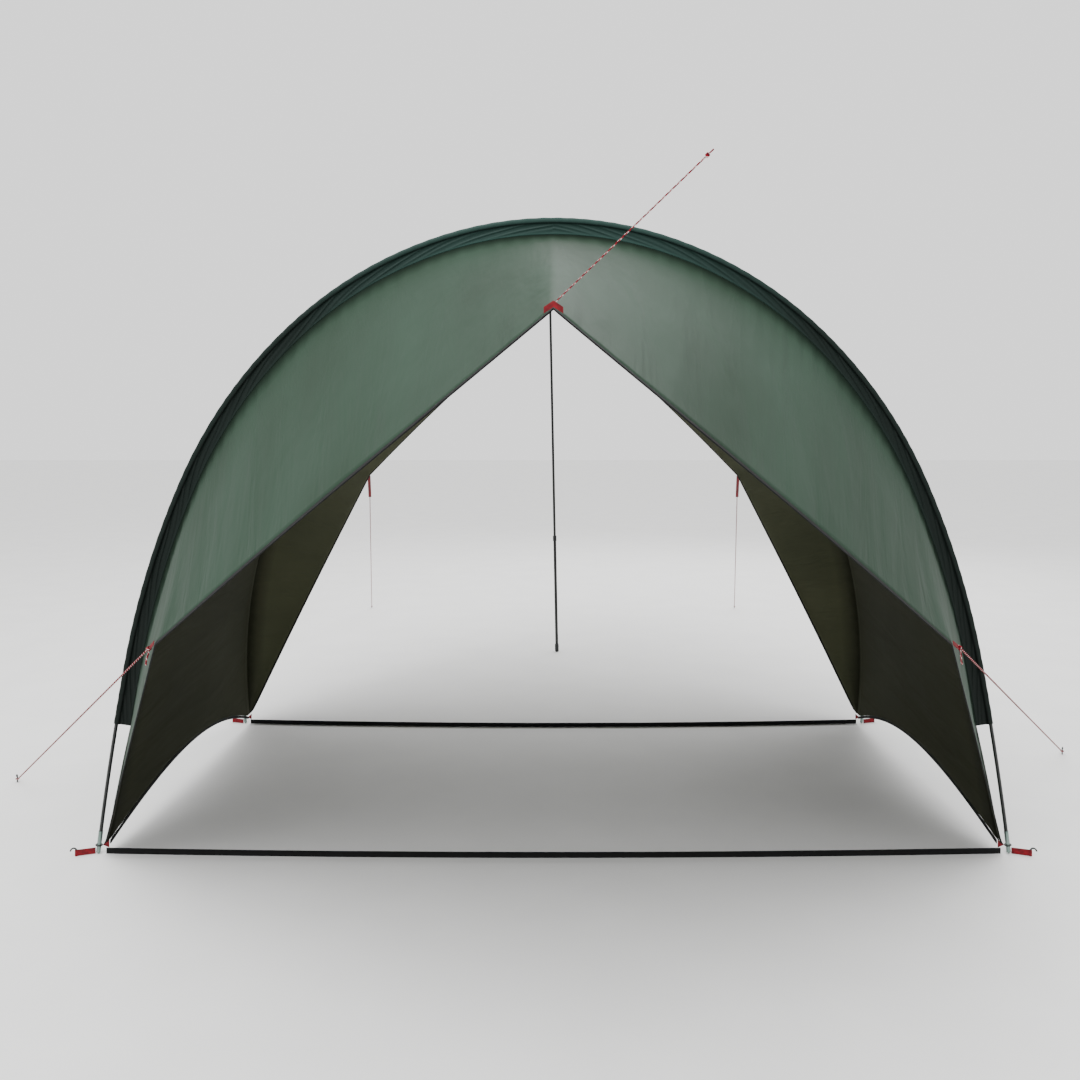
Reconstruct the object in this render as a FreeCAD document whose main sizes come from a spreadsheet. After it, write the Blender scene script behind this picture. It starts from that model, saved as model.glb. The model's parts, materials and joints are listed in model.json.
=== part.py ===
"""Arch tent on poles: two bent arches in sleeves, a canopy with a front and a rear awning, a telescopic
centre pole and taut guy ropes.  Millimetres, +Z up, front towards -Y, origin on the ground at the middle."""
import FreeCAD, Part
import math
import os
import Sketcher
from FreeCAD import Placement, Rotation, Vector

DOC = FreeCAD.newDocument("ArchTent")
AXIS_X = Vector(1, 0, 0)
AXIS_Y = Vector(0, 1, 0)
AXIS_Z = Vector(0, 0, 1)

# ---------------------------------------------------------------- driving dimensions
SIZES = {
    # bent arches: nine equal tubes each, every tube bent to its own round arc
    "tube_length": 642, "tube_od": 12, "tube_bore": 8,
    "ferrule_od": 7.4, "ferrule_bore": 4.6, "ferrule_length": 120, "elastic_od": 3,
    "front_lean": 6.8, "front_turn_a": 3.7, "front_turn_b": 13.2, "front_turn_c": 23.6, "front_turn_d": 27.4,
    "rear_lean": -6.8, "rear_turn_a": 15.4, "rear_turn_b": 19.4, "rear_turn_c": 23.2, "rear_turn_d": 25.7,
    "arch_spacing": 1535,
    # metal pole ends
    "end_od": 14, "end_length": 65, "end_play": 0.3, "pin_od": 9, "pin_tip_od": 2, "pin_reach": 12,
    "pin_lift": 0.3, "pin_taper": 3,
    # sleeves and canopy
    "sleeve_play": 1.5, "fabric": 2, "front_web": 48, "rear_web": 22, "sleeve_start": 430,
    "canopy_start": 34, "foot_inset": 24, "side_rise": 130, "seam_gap": 1,
    "hem_width": 12, "hem_thickness": 4, "side_hem_inset": 18, "scallop_margin": 200,
    "front_reach": 1512, "front_peak_height": 1636,
    "front_corner_x": 1070, "front_corner_reach": 672, "front_corner_height": 845,
    "front_corner_station": 1150, "front_side_bow": 12, "front_top_bow": 18,
    "rear_reach": 1623, "rear_peak_height": 2300,
    "rear_corner_x": 1041, "rear_corner_reach": 747, "rear_corner_height": 1189,
    "rear_corner_station": 1400, "rear_side_bow": 10, "rear_top_bow": 45,
    # webbing
    "webbing": 2, "strap_height": 20, "front_strap_bow": 35, "rear_strap_bow": 60, "strap_inset": 26,
    "peg_loop_length": 55, "peg_loop_height": 20, "peg_loop_lead": 20, "peg_play": 0.6, "loop_gap": 3,
    "tab_height": 26, "tab_width": 20, "peak_tab_width": 36, "peak_tab_height": 24, "peak_tab_depth": 5,
    "peak_plate_length": 28, "peak_plate_width": 40, "peak_plate_thickness": 3, "peak_plate_hole": 9,
    "plate_margin": 14, "corner_tab_width": 14, "rear_strap_width": 18,
    # rings, pegs and ropes
    "ring_wire": 4, "ring_play": 1, "ring_height": 30,
    "peg_wire": 5, "peg_height": 30, "peg_hook_radius": 9, "peg_stand_off": 5.5,
    "rope_od": 5, "knot_od": 14, "knot_tail": 45, "knot_drift": 8, "rope_gap": 1,
    "peak_rope_od": 2.5, "peak_knot_od": 8, "peak_knot_tail": 14,
    # telescopic centre pole
    "pole_lean": 1.12, "lower_od": 19, "lower_bore": 17, "lower_length": 740,
    "upper_od": 16, "upper_bore": 14, "mid_length": 820, "overlap": 120, "tube_gap": 0.2,
    "spigot_od": 13.8, "spigot_length": 100, "spike_od": 6, "spike_length": 30, "spike_plug": 25,
    "spike_seat": 6.5, "spike_shoulder": 3, "spike_neck": 6, "spike_point": 3, "spike_tip": 1,
    "collar_od": 24, "collar_length": 30, "collar_lip": 5, "collar_chamfer": 1, "collar_chamfer_run": 2,
    "lip_chamfer": 1.5, "run_play": 0.1,
    "plug_length": 30, "plug_chamfer": 1.5, "plug_chamfer_run": 4, "plug_gap": 1,
    "stem_od": 8, "stem_length": 40, "insert_od": 13.8, "insert_length": 20,
    "foot_od": 25, "foot_length": 50, "foot_floor": 14, "foot_play": 0.1,
    "foot_nose": 0.5, "foot_shoulder": 5,
}
TUBES = 9
# How many straight rulings each lofted cloth is divided into.
ROOF_RULINGS = 36
SIDE_RULINGS = 12
TOP_RULINGS = 14
SIDE_HEM_RULINGS = 16
# How far before a corner, along the arch, the cloth's direction is read.
CORNER_PROBE = 10
# Keeps a station at the joint of two tubes in the upper tube, whatever their length rounds to.
ROUNDING = 1e-9


def make_sheet():
    sheet = DOC.addObject("Spreadsheet::Sheet", "Dims")
    for row, (alias, size) in enumerate(SIZES.items(), start=1):
        sheet.set(f"A{row}", alias)
        sheet.set(f"B{row}", str(size))
        sheet.setAlias(f"B{row}", alias)
    DOC.recompute()
    return sheet


SHEET = make_sheet()


def dim(alias):
    return float(SHEET.get(alias))


def value(expression):
    """The number that an expression over the sheet gives."""
    return float(SHEET.evalExpression(expression.replace("Dims.", "")))


# ---------------------------------------------------------------- places worked out from the sheet
FRONT_EXTENT = dim("front_reach") + dim("hem_width") + dim("peak_tab_depth")
REAR_EXTENT = dim("rear_reach") + dim("hem_width") + dim("seam_gap") + dim("peak_plate_length")
FRONT_Y = FRONT_EXTENT - (FRONT_EXTENT + dim("arch_spacing") + REAR_EXTENT) / 2
REAR_Y = FRONT_Y + dim("arch_spacing")


class Arch:
    """One bent pole in a plane of constant Y: nine tangent arcs from the left foot to the right."""

    def __init__(self, name, y):
        self.name = name
        self.y = y
        self.lean = dim(f"{name}_lean")
        self.web = dim(f"{name}_web")
        side = [dim(f"{name}_turn_{letter}") for letter in "abcd"]
        middle = 2 * (90 - self.lean - sum(side))
        self.turns = side + [middle] + side[::-1]
        self.step = dim("tube_length")
        self.half = TUBES * self.step / 2
        self.half_span = 0
        self.half_span = self.point(self.half).x

    def start(self, tube):
        """Point and heading, in degrees above +X, where a tube starts."""
        point = Vector(-self.half_span, self.y, dim("pin_reach"))
        heading = 90 - self.lean
        for turn in self.turns[:tube]:
            chord = heading - turn / 2
            length = self.step * math.sin(math.radians(turn / 2)) / math.radians(turn / 2)
            point = point + direction(chord) * length
            heading -= turn
        return point, heading

    def radius(self, tube):
        return self.step / math.radians(self.turns[tube])

    def centre(self, tube):
        point, heading = self.start(tube)
        return point + inward(heading) * self.radius(tube)

    def tube_at(self, station):
        return min(int(station / self.step + ROUNDING), TUBES - 1)

    def heading(self, station):
        tube = self.tube_at(station)
        return self.start(tube)[1] - self.turns[tube] * (station - tube * self.step) / self.step

    def point(self, station, inset=0):
        """The point at a length along the arch, moved inwards by inset."""
        tube = self.tube_at(station)
        heading = self.heading(station)
        radius = self.radius(tube)
        return self.centre(tube) - inward(heading) * (radius - inset)

    def seam(self, station):
        """Where the canopy is sewn on: inside the sleeve's web, and closer to the pole below the sleeve."""
        along = min(station, 2 * self.half - station)
        share = min(along / dim("sleeve_start"), 1)
        full = self.web + dim("seam_gap")
        return self.point(station, dim("foot_inset") * (1 - share) + full * share)


def direction(heading):
    return Vector(math.cos(math.radians(heading)), 0, math.sin(math.radians(heading)))


def inward(heading):
    return direction(heading - 90)


FRONT = Arch("front", FRONT_Y)
REAR = Arch("rear", REAR_Y)
ARCHES = (FRONT, REAR)
SIDES = (("left", -1), ("right", 1))


# ---------------------------------------------------------------- helpers
PARTS = []


def keep(thing, label):
    thing.Label = label
    PARTS.append(thing)
    return thing


def feature(label, shape, placement=None):
    thing = DOC.addObject("Part::Feature", label)
    thing.Shape = shape
    if placement is not None:
        thing.Placement = placement
    return keep(thing, label)


def origin_plane(body, role):
    return next(plane for plane in body.Origin.OriginFeatures if plane.Role == role)


def bind_point(sketch, line, which, across, up):
    """Hold one sketch point at the distances that two expressions give; a zero puts it on the axis."""
    for kind, expression, axis in (("DistanceX", across, -2), ("DistanceY", up, -1)):
        if expression == "0":
            from_axis = ("PointOnObject", line, which, axis)
            sketch.addConstraint(Sketcher.Constraint(*from_axis))
        else:
            constraint = Sketcher.Constraint(kind, -1, 1, line, which, value(expression))
            sketch.setExpression(f"Constraints[{sketch.addConstraint(constraint)}]", expression)


def outline_sketch(body, name, plane, outline):
    """A closed outline of straight lines, each corner bound to the sheet."""
    sketch = body.newObject("Sketcher::SketchObject", name)
    sketch.AttachmentSupport = [(origin_plane(body, plane), "")]
    sketch.MapMode = "FlatFace"
    corners = [Vector(value(across), value(up), 0) for across, up in outline]
    for index, corner in enumerate(corners):
        sketch.addGeometry(Part.LineSegment(corner, corners[(index + 1) % len(corners)]))
    for index in range(len(corners)):
        sketch.addConstraint(Sketcher.Constraint("Coincident", index, 2, (index + 1) % len(corners), 1))
    for index, (across, up) in enumerate(outline):
        bind_point(sketch, index, 1, across, up)
    return sketch


def turned(label, outline, placement):
    """A body turned about Z from an outline of (radius, height) expressions."""
    body = DOC.addObject("PartDesign::Body", label)
    sketch = outline_sketch(body, f"{label}_outline", "XZ_Plane", outline)
    turn = body.newObject("PartDesign::Revolution", f"{label}_turn")
    turn.Profile = sketch
    turn.ReferenceAxis = (sketch, ["V_Axis"])
    turn.Angle = 360
    DOC.recompute()
    body.Placement = placement
    return keep(body, label)


def pipe_outline(outer, bore, low, high):
    return [(f"Dims.{bore} / 2", low), (f"Dims.{outer} / 2", low), (f"Dims.{outer} / 2", high),
            (f"Dims.{bore} / 2", high)]


def torus(name, radius, wire, sweep=None, placement=None):
    ring = DOC.addObject("Part::Torus", name)
    ring.setExpression("Radius1", radius)
    ring.setExpression("Radius2", wire)
    if sweep is not None:
        ring.setExpression("Angle3", sweep)
    if placement is not None:
        ring.Placement = placement
    return ring


def turn_expression(arch, tube):
    """The sheet expression for the angle that one tube bends through."""
    turns = [f"Dims.{arch.name}_turn_{letter}" for letter in "abcd"]
    from_foot = min(tube, TUBES - 1 - tube)
    if from_foot < len(turns):
        return turns[from_foot]
    return f"(180 - 2 * Dims.{arch.name}_lean - 2 * ({' + '.join(turns)}))"


def bent_rod(name, arch, station, length, wire):
    """A round rod along the arc that the arch has at a station."""
    tube = arch.tube_at(station)
    turn = turn_expression(arch, tube)
    radius = f"Dims.tube_length / ({turn} * pi / 180)"
    heading = arch.heading(station)
    outward = inward(heading) * -1
    frame = Rotation(outward, AXIS_Y.cross(outward), AXIS_Y, "ZXY")
    return torus(name, radius, wire, f"{turn} * {length} / Dims.tube_length",
                 Placement(arch.centre(tube), frame))


def cut(label, base, tool):
    result = DOC.addObject("Part::Cut", label)
    result.Base = base
    result.Tool = tool
    return result


def group(label, members):
    result = DOC.addObject("Part::Compound", label)
    result.Links = members
    return keep(result, label)


def ribbon(stations, ends=True):
    """A thin closed sheet through a row of four-cornered sections."""
    wires = [Part.makePolygon(corners + [corners[0]]) for corners in stations]
    return Part.makeLoft(wires, ends, True)


def unit(vector):
    return vector * (1 / vector.Length)


def taut_rope(start, end, diameter):
    """A rope that is pulled straight, as a solid rod."""
    return Part.makeCylinder(diameter / 2, (end - start).Length, start, end - start)


# ---------------------------------------------------------------- arches
def make_tubes(arch):
    for tube in range(TUBES):
        station = tube * arch.step
        name = f"{arch.name}_arch_tube_{tube + 1}"
        outer = bent_rod(f"{name}_outer", arch, station, "Dims.tube_length", "Dims.tube_od / 2")
        bore = bent_rod(f"{name}_bore", arch, station, "Dims.tube_length", "Dims.tube_bore / 2")
        keep(cut(name, outer, bore), name)


def make_ferrules(arch):
    ferrules = []
    for joint in range(1, TUBES):
        middle = joint * arch.step
        halves = []
        for end, station in (("low", middle - dim("ferrule_length") / 2), ("high", middle)):
            name = f"{arch.name}_ferrule_{joint}_{end}"
            outer = bent_rod(f"{name}_outer", arch, station, "Dims.ferrule_length / 2", "Dims.ferrule_od / 2")
            bore = bent_rod(f"{name}_bore", arch, station, "Dims.ferrule_length / 2",
                            "Dims.ferrule_bore / 2")
            halves.append(cut(name, outer, bore))
        ferrule = DOC.addObject("Part::MultiFuse", f"{arch.name}_ferrule_{joint}")
        ferrule.Shapes = halves
        ferrules.append(ferrule)
    group(f"{arch.name}_arch_ferrules", ferrules)


def make_elastic(arch):
    lengths = [bent_rod(f"{arch.name}_elastic_{tube + 1}", arch, tube * arch.step, "Dims.tube_length",
                        "Dims.elastic_od / 2") for tube in range(TUBES)]
    elastic = DOC.addObject("Part::MultiFuse", f"{arch.name}_elastic_cord")
    elastic.Shapes = lengths
    keep(elastic, f"{arch.name}_elastic_cord")


def foot_placement(arch, side):
    """At a pole's lower end, with Z up along the chord of the bent length inside the metal end."""
    bend = arch.turns[0] * dim("end_length") / arch.step / 2
    foot = Vector(side * arch.half_span, arch.y, dim("pin_reach") + dim("pin_lift"))
    return Placement(foot, Rotation(AXIS_Y, -side * (arch.lean + bend)))


def make_ends(arch):
    sleeve = "(Dims.tube_od / 2 + Dims.end_play)"
    outline = [("0", "-Dims.pin_reach"), ("Dims.pin_tip_od / 2", "-Dims.pin_reach"),
               ("Dims.pin_od / 2", "-Dims.pin_reach + Dims.pin_taper"),
               ("Dims.end_od / 2", "-Dims.pin_reach / 2"),
               ("Dims.end_od / 2", "Dims.end_length"),
               (sleeve, "Dims.end_length"), (sleeve, "-Dims.end_play - Dims.pin_lift"),
               ("0", "-Dims.end_play - Dims.pin_lift")]
    for side_name, side in SIDES:
        turned(f"{arch.name}_{side_name}_pole_end", outline, foot_placement(arch, side))


# ---------------------------------------------------------------- sleeves and canopy
def sleeve_profile(arch, station):
    """Pocket round the pole and a flat web inwards, at a station, as one face across the pole."""
    centre = arch.point(station)
    heading = arch.heading(station)
    inner = dim("tube_od") / 2 + dim("sleeve_play")
    outer = inner + dim("fabric") / 2
    half = dim("fabric") / 2
    corners = [centre + inward(heading) * reach + AXIS_Y * across
               for reach, across in ((inner, -half), (arch.web, -half), (arch.web, half), (inner, half))]
    web = Part.Face(Part.makePolygon(corners + [corners[0]]))
    rim = Part.Face(Part.Wire([Part.makeCircle(outer, centre, direction(heading))]))
    hollow = Part.Face(Part.Wire([Part.makeCircle(inner, centre, direction(heading))]))
    return rim.fuse(web).cut(hollow).removeSplitter().Faces[0]


def make_sleeve(arch):
    pieces = []
    first = dim("sleeve_start")
    last = 2 * arch.half - first
    for tube in range(TUBES):
        low = max(first, tube * arch.step)
        high = min(last, (tube + 1) * arch.step)
        turn = arch.turns[tube] * (high - low) / arch.step
        profile = sleeve_profile(arch, low)
        pieces.append(profile.revolve(arch.centre(tube), AXIS_Y, turn))
    feature(f"{arch.name}_pole_sleeve", pieces[0].multiFuse(pieces[1:]).removeSplitter())


def stations(first, last, count):
    return [first + (last - first) * index / count for index in range(count + 1)]


def side_scallop():
    """The block under one concave side edge, between the two arches."""
    low = dim("canopy_start")
    front = Vector(0, FRONT_Y, low)
    rear = Vector(0, REAR_Y, low)
    top = Vector(0, (FRONT_Y + REAR_Y) / 2, low + dim("side_rise"))
    floor = AXIS_Z * -low
    edges = [Part.Arc(front, top, rear).toShape(), Part.LineSegment(rear, rear + floor).toShape(),
             Part.LineSegment(rear + floor, front + floor).toShape(),
             Part.LineSegment(front + floor, front).toShape()]
    width = 2 * (FRONT.half_span + dim("scallop_margin"))
    scallop = Part.Face(Part.Wire(edges)).extrude(AXIS_X * width)
    scallop.translate(AXIS_X * (-width / 2))
    return scallop


def make_roof():
    gap = dim("fabric") / 2 + dim("seam_gap")
    first = dim("canopy_start")
    sections = []
    for station in stations(first, 2 * FRONT.half - first, ROOF_RULINGS):
        inside = inward((FRONT.heading(station) + REAR.heading(station)) / 2) * dim("fabric")
        front = FRONT.seam(station) + AXIS_Y * gap
        rear = REAR.seam(station) - AXIS_Y * gap
        sections.append([front, front + inside, rear + inside, rear])
    feature("canopy_roof", ribbon(sections).cut(side_scallop()))


class Awning:
    """The cloth from one arch out to its hem: foot, corner, peak and back, the same on both sides."""

    def __init__(self, arch, away):
        name = arch.name
        self.arch = arch
        self.away = away
        self.first = dim("canopy_start")
        self.turn = dim(f"{name}_corner_station")
        self.corner = Vector(-dim(f"{name}_corner_x"), arch.y + away * dim(f"{name}_corner_reach"),
                             dim(f"{name}_corner_height"))
        self.peak = Vector(0, arch.y + away * dim(f"{name}_reach"), dim(f"{name}_peak_height"))
        self.bows = (dim(f"{name}_side_bow"), dim(f"{name}_top_bow"))

    def root(self, station):
        gap = dim("fabric") / 2 + dim("seam_gap")
        return self.arch.seam(station) + AXIS_Y * (self.away * gap)

    def hem(self, station):
        """The hem point of the ruling that starts at a station of the left half."""
        if station <= self.turn:
            start, end, bow = self.foot(), self.corner, self.bows[0]
            share = (station - self.first) / (self.turn - self.first)
        else:
            start, end, bow = self.corner, self.peak, self.bows[1]
            share = (station - self.turn) / (self.arch.half - self.turn)
        chord = start + (end - start) * share
        return chord + unit(self.root(station) - chord) * (4 * bow * share * (1 - share))

    def foot(self):
        return self.root(self.first) + AXIS_Y * (self.away * dim("hem_width"))

    def rulings(self):
        """(root, hem) pairs over the whole awning, left foot to right foot."""
        left = stations(self.first, self.turn, SIDE_RULINGS)
        left += stations(self.turn, self.arch.half, TOP_RULINGS)[1:]
        pairs = [(self.root(station), self.hem(station)) for station in left]
        right = [(mirrored(root), mirrored(hem)) for root, hem in pairs[-2::-1]]
        return pairs + right


def mirrored(point):
    return Vector(-point.x, point.y, point.z)


def skin_normals(pairs):
    """The cloth's normal at each ruling, from its neighbours."""
    normals = []
    for index, (root, hem) in enumerate(pairs):
        before = pairs[max(index - 1, 0)]
        after = pairs[min(index + 1, len(pairs) - 1)]
        along = (after[0] + after[1]) - (before[0] + before[1])
        normals.append(unit(along.cross(hem - root)))
    return normals


def sheet_of(pairs, normals, thickness):
    half = thickness / 2
    return ribbon([[root + normal * half, hem + normal * half, hem - normal * half, root - normal * half]
                   for (root, hem), normal in zip(pairs, normals)])


def make_awning(awning):
    pairs = awning.rulings()
    feature(f"{awning.arch.name}_awning", sheet_of(pairs, skin_normals(pairs), dim("fabric")))


def hem_strip(awning):
    """The binding that continues each ruling past the cloth's edge."""
    pairs = awning.rulings()
    normals = skin_normals(pairs)
    edge = []
    for root, hem in pairs:
        out = unit(hem - root)
        edge.append((hem + out * dim("seam_gap"), hem + out * dim("hem_width")))
    return sheet_of(edge, normals, dim("hem_thickness"))


def side_strip(side):
    """The binding under one concave side edge of the roof."""
    low = dim("canopy_start")
    rise = dim("side_rise")
    middle = (FRONT_Y + REAR_Y) / 2
    half_depth = dim("arch_spacing") / 2
    sections = []
    inset = dim("side_hem_inset")
    for y in stations(FRONT_Y + inset, REAR_Y - inset, SIDE_HEM_RULINGS):
        share = (y - FRONT_Y) / dim("arch_spacing")
        radius = (half_depth ** 2 + rise ** 2) / (2 * rise)
        height = low + rise - radius + math.sqrt(radius ** 2 - (y - middle) ** 2) - dim("seam_gap")
        wall = FRONT.seam(height) * (1 - share) + REAR.seam(height) * share
        across = -wall.x - dim("fabric") / 2
        half = dim("hem_thickness") / 2
        sections.append([Vector(side * (across + half * sign), y, z) for sign, z in
                         ((1, height), (-1, height), (-1, height - dim("hem_width")),
                          (1, height - dim("hem_width")))])
    return ribbon(sections)


def make_hems(awnings):
    strips = [hem_strip(awning) for awning in awnings] + [side_strip(side) for _, side in SIDES]
    feature("hem_binding", Part.makeCompound(strips))


# ---------------------------------------------------------------- foot fittings
def foot_point(arch, side, height, out=0):
    """A point beside a pole's end, in the arch's plane: out is away from the tent."""
    drift = math.tan(math.radians(arch.lean)) * (height - dim("pin_reach"))
    return Vector(side * (arch.half_span - drift + out), arch.y, height)


def make_rings():
    rings = []
    for arch in ARCHES:
        for side_name, side in SIDES:
            height = dim("ring_height")
            place = Placement(foot_point(arch, side, height), Rotation(AXIS_Y, -side * arch.lean))
            rings.append(torus(f"{arch.name}_{side_name}_ring",
                               "Dims.end_od / 2 + Dims.ring_play + Dims.ring_wire / 2",
                               "Dims.ring_wire / 2", None, place))
    group("foot_rings", rings)


def block(corners, thickness):
    """A flat piece: an outline made thick along its own normal, half each way."""
    face = Part.Face(Part.makePolygon(corners + [corners[0]]))
    normal = face.normalAt(0, 0)
    solid = face.extrude(normal * thickness)
    solid.translate(normal * (-thickness / 2))
    return solid


def make_foot_tabs():
    """Three-cornered webbing tabs from each ring up to the canopy's foot corner."""
    tabs = []
    for arch in ARCHES:
        for _, side in SIDES:
            ring = dim("end_od") / 2 + dim("ring_play") + dim("ring_wire") + dim("seam_gap")
            low = dim("strap_height") + dim("seam_gap")
            back = -ring - dim("tab_width")
            corners = [foot_point(arch, side, dim("ring_height"), -ring), foot_point(arch, side, low, back),
                       foot_point(arch, side, low + dim("tab_height"), back)]
            tabs.append(block(corners, dim("webbing")))
    feature("foot_tabs", Part.makeCompound(tabs))


def make_peg_loops():
    """Doubled webbing, on edge, from beside each pole end out to a sewn eye round its ground peg."""
    loops = []
    hollow = dim("peg_wire") / 2 + dim("peg_play")
    rim = hollow + dim("webbing")
    upright = AXIS_Z * dim("peg_loop_height")
    for arch in ARCHES:
        for _, side in SIDES:
            start, end = peg_loop_ends(arch, side)
            across = AXIS_Z.cross(unit(end - start)) * dim("webbing")
            corners = [start + across, end + across, end - across, start - across]
            bar = Part.Face(Part.makePolygon(corners + [corners[0]])).extrude(upright)
            eye = Part.makeCylinder(rim, upright.z, end)
            loops.append(bar.fuse(eye).cut(Part.makeCylinder(hollow, upright.z, end)))
    feature("peg_loops", Part.makeCompound(loops), Placement(AXIS_Z * dim("seam_gap"), Rotation()))


def peg_loop_ends(arch, side):
    """A loop's two ends on the ground: beside the pole end, and the peg's middle."""
    ahead = -1 if arch is FRONT else 1
    start = Vector(side * (arch.half_span + dim("end_od") / 2 + dim("loop_gap")), arch.y, 0)
    return start, start + Vector(side * dim("peg_loop_length"), ahead * dim("peg_loop_lead"), 0)


def hook_peg(foot, out):
    """A bent-wire peg: a short upright shank and a hook that leans out over the ground."""
    wire = dim("peg_wire")
    bend = dim("peg_hook_radius")
    top = foot + AXIS_Z * (dim("peg_height") - wire / 2 - bend)
    crown = top + out * bend + AXIS_Z * bend
    tip = top + out * (2 * bend)
    path = Part.Wire([Part.LineSegment(foot, top).toShape(), Part.Arc(top, crown, tip).toShape()])
    section = Part.Wire([Part.makeCircle(wire / 2, foot, AXIS_Z)])
    return path.makePipeShell([section], True, False)


def make_foot_pegs():
    pegs = []
    for arch in ARCHES:
        for _, side in SIDES:
            start, end = peg_loop_ends(arch, side)
            pegs.append(hook_peg(end, unit(end - start)))
    feature("foot_pegs", Part.makeCompound(pegs))


def make_ground_strap(arch):
    """Flat webbing on edge from foot to foot, bowed a little to the front."""
    half = arch.half_span - dim("strap_inset")
    bow = dim(f"{arch.name}_strap_bow")
    wall = dim("webbing")
    left = Vector(-half, arch.y, 0)
    right = Vector(half, arch.y, 0)
    front = Vector(0, arch.y - bow, 0)
    shift = AXIS_Y * wall
    edges = [Part.Arc(left, front, right).toShape(), Part.LineSegment(right, right + shift).toShape(),
             Part.Arc(right + shift, front + shift, left + shift).toShape(),
             Part.LineSegment(left + shift, left).toShape()]
    strap = Part.Face(Part.Wire(edges)).extrude(AXIS_Z * dim("strap_height"))
    feature(f"{arch.name}_ground_strap", strap)


# ---------------------------------------------------------------- peak and corner webbing
def make_front_peak_tab(awning):
    """Two folded webbing legs that cap the front peak like a roof."""
    wide = dim("peak_tab_width") / 2
    tall = dim("peak_tab_height")
    leg = tall / 2
    y = FRONT_Y - FRONT_EXTENT
    top = awning.peak.z + leg
    corners = [Vector(0, y, top), Vector(wide, y, top - tall + leg), Vector(wide, y, top - tall),
               Vector(0, y, top - leg), Vector(-wide, y, top - tall), Vector(-wide, y, top - tall + leg)]
    depth = dim("peak_tab_depth") - dim("seam_gap")
    tab = Part.Face(Part.makePolygon(corners + [corners[0]])).extrude(AXIS_Y * depth)
    feature("front_peak_tab", tab)


def pole_placement(height):
    """A place on the leaning centre pole, measured along it from the ground."""
    lean = dim("pole_lean")
    top = dim("rear_peak_height")
    along = Rotation(AXIS_Y, -lean)
    foot = Vector(math.tan(math.radians(lean)) * top / 2, REAR_Y + REAR_EXTENT - dim("plate_margin"), 0)
    return Placement(foot + along.multVec(AXIS_Z * height), along)


def make_rear_peak_tab():
    body = DOC.addObject("PartDesign::Body", "rear_peak_tab")
    wide = "Dims.peak_plate_width / 2"
    near = "Dims.plate_margin - Dims.peak_plate_length"
    far = "Dims.plate_margin"
    outline = [(f"-{wide}", near), (wide, near), (wide, far), (f"-{wide}", far)]
    sketch = outline_sketch(body, "rear_peak_tab_outline", "XY_Plane", outline)
    pad = body.newObject("PartDesign::Pad", "rear_peak_tab_pad")
    pad.Profile = sketch
    pad.setExpression("Length", "Dims.peak_plate_thickness")
    hole = body.newObject("Sketcher::SketchObject", "rear_peak_tab_eyelet")
    hole.AttachmentSupport = [(origin_plane(body, "XY_Plane"), "")]
    hole.MapMode = "FlatFace"
    radius = dim("peak_plate_hole") / 2
    circle = hole.addGeometry(Part.Circle(Vector(0, 0, 0), AXIS_Z, radius))
    hole.addConstraint(Sketcher.Constraint("Coincident", circle, 3, -1, 1))
    size = hole.addConstraint(Sketcher.Constraint("Radius", circle, radius))
    hole.setExpression(f"Constraints[{size}]", "Dims.peak_plate_hole / 2")
    pocket = body.newObject("PartDesign::Pocket", "rear_peak_tab_hole")
    pocket.Profile = hole
    pocket.Type = "ThroughAll"
    pocket.Reversed = True
    DOC.recompute()
    body.Placement = pole_placement(dim("rear_peak_height") + dim("seam_gap"))
    keep(body, "rear_peak_tab")


# The ropes: hand-placed points, millimetres, from the knot to the peg.
ROPES = {
    "front_left_guy_rope": [(-1106, -1469, 820), (-2172, -141, 14)],
    "front_right_guy_rope": [(1109, -1470, 823), (2244, 218, 14)],
    "rear_left_guy_rope": [(-1095, 1770, 1046), (-1494, 4027, 14)],
    "rear_right_guy_rope": [(1095, 1770, 1046), (1487, 4027, 14)],
    "front_peak_guy_rope": [(4, -2367, 1645), (236, -2643, 1832)],
}
PEG_RUNS = [name for name in ROPES if "peak" not in name]


def rope_points(name):
    return [Vector(*point) for point in ROPES[name]]


def make_ropes():
    for name in ROPES:
        start, end = rope_points(name)
        diameter = dim("peak_rope_od" if "peak" in name else "rope_od")
        rope = taut_rope(start, end, diameter)
        feature(name, rope)
        run = (end - start).Length
        ratio = rope.Volume / (math.pi * diameter ** 2 / 4 * run)
        print(f"{name}: {run:.0f} mm long, volume over section times length {ratio:.3f}")


def make_guy_pegs():
    """A hook peg where each ground rope ends, leaning away from the tent."""
    pegs = []
    for name in PEG_RUNS:
        start, end = rope_points(name)
        level = unit(Vector(end.x - start.x, end.y - start.y, 0))
        foot = Vector(end.x, end.y, 0) + level * dim("peg_stand_off")
        pegs.append(hook_peg(foot, level))
    feature("guy_pegs", Part.makeCompound(pegs))


def corner_frame(awning, side):
    """A hem corner, and the cloth's outward direction there."""
    turn = awning.turn
    before = awning.root(turn - CORNER_PROBE)
    after = awning.hem(turn)
    edge = awning.hem(turn - CORNER_PROBE) - after
    outward = unit(edge.cross(before - after))
    if outward.x > 0:
        outward = outward * -1
    place = awning.corner
    if side > 0:
        return mirrored(place), mirrored(outward)
    return place, outward


def make_front_corner_tabs(front):
    """Short tabs that lie along the outside of the cloth, from each corner to its knot."""
    lift = (dim("hem_thickness") + dim("webbing")) / 2 + dim("seam_gap")
    half = dim("corner_tab_width") / 2
    tabs = []
    for side_name, side in SIDES:
        knot = rope_points(f"front_{side_name}_guy_rope")[0]
        corner, outward = corner_frame(front, side)
        toward = unit(knot - corner)
        start = corner + outward * lift + toward * dim("seam_gap")
        end = knot - toward * (dim("knot_od") + dim("rope_gap"))
        across = unit(outward.cross(end - start)) * half
        tabs.append(block([start - across, end - across, end + across, start + across], dim("webbing")))
    feature("front_corner_tabs", Part.makeCompound(tabs))


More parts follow.
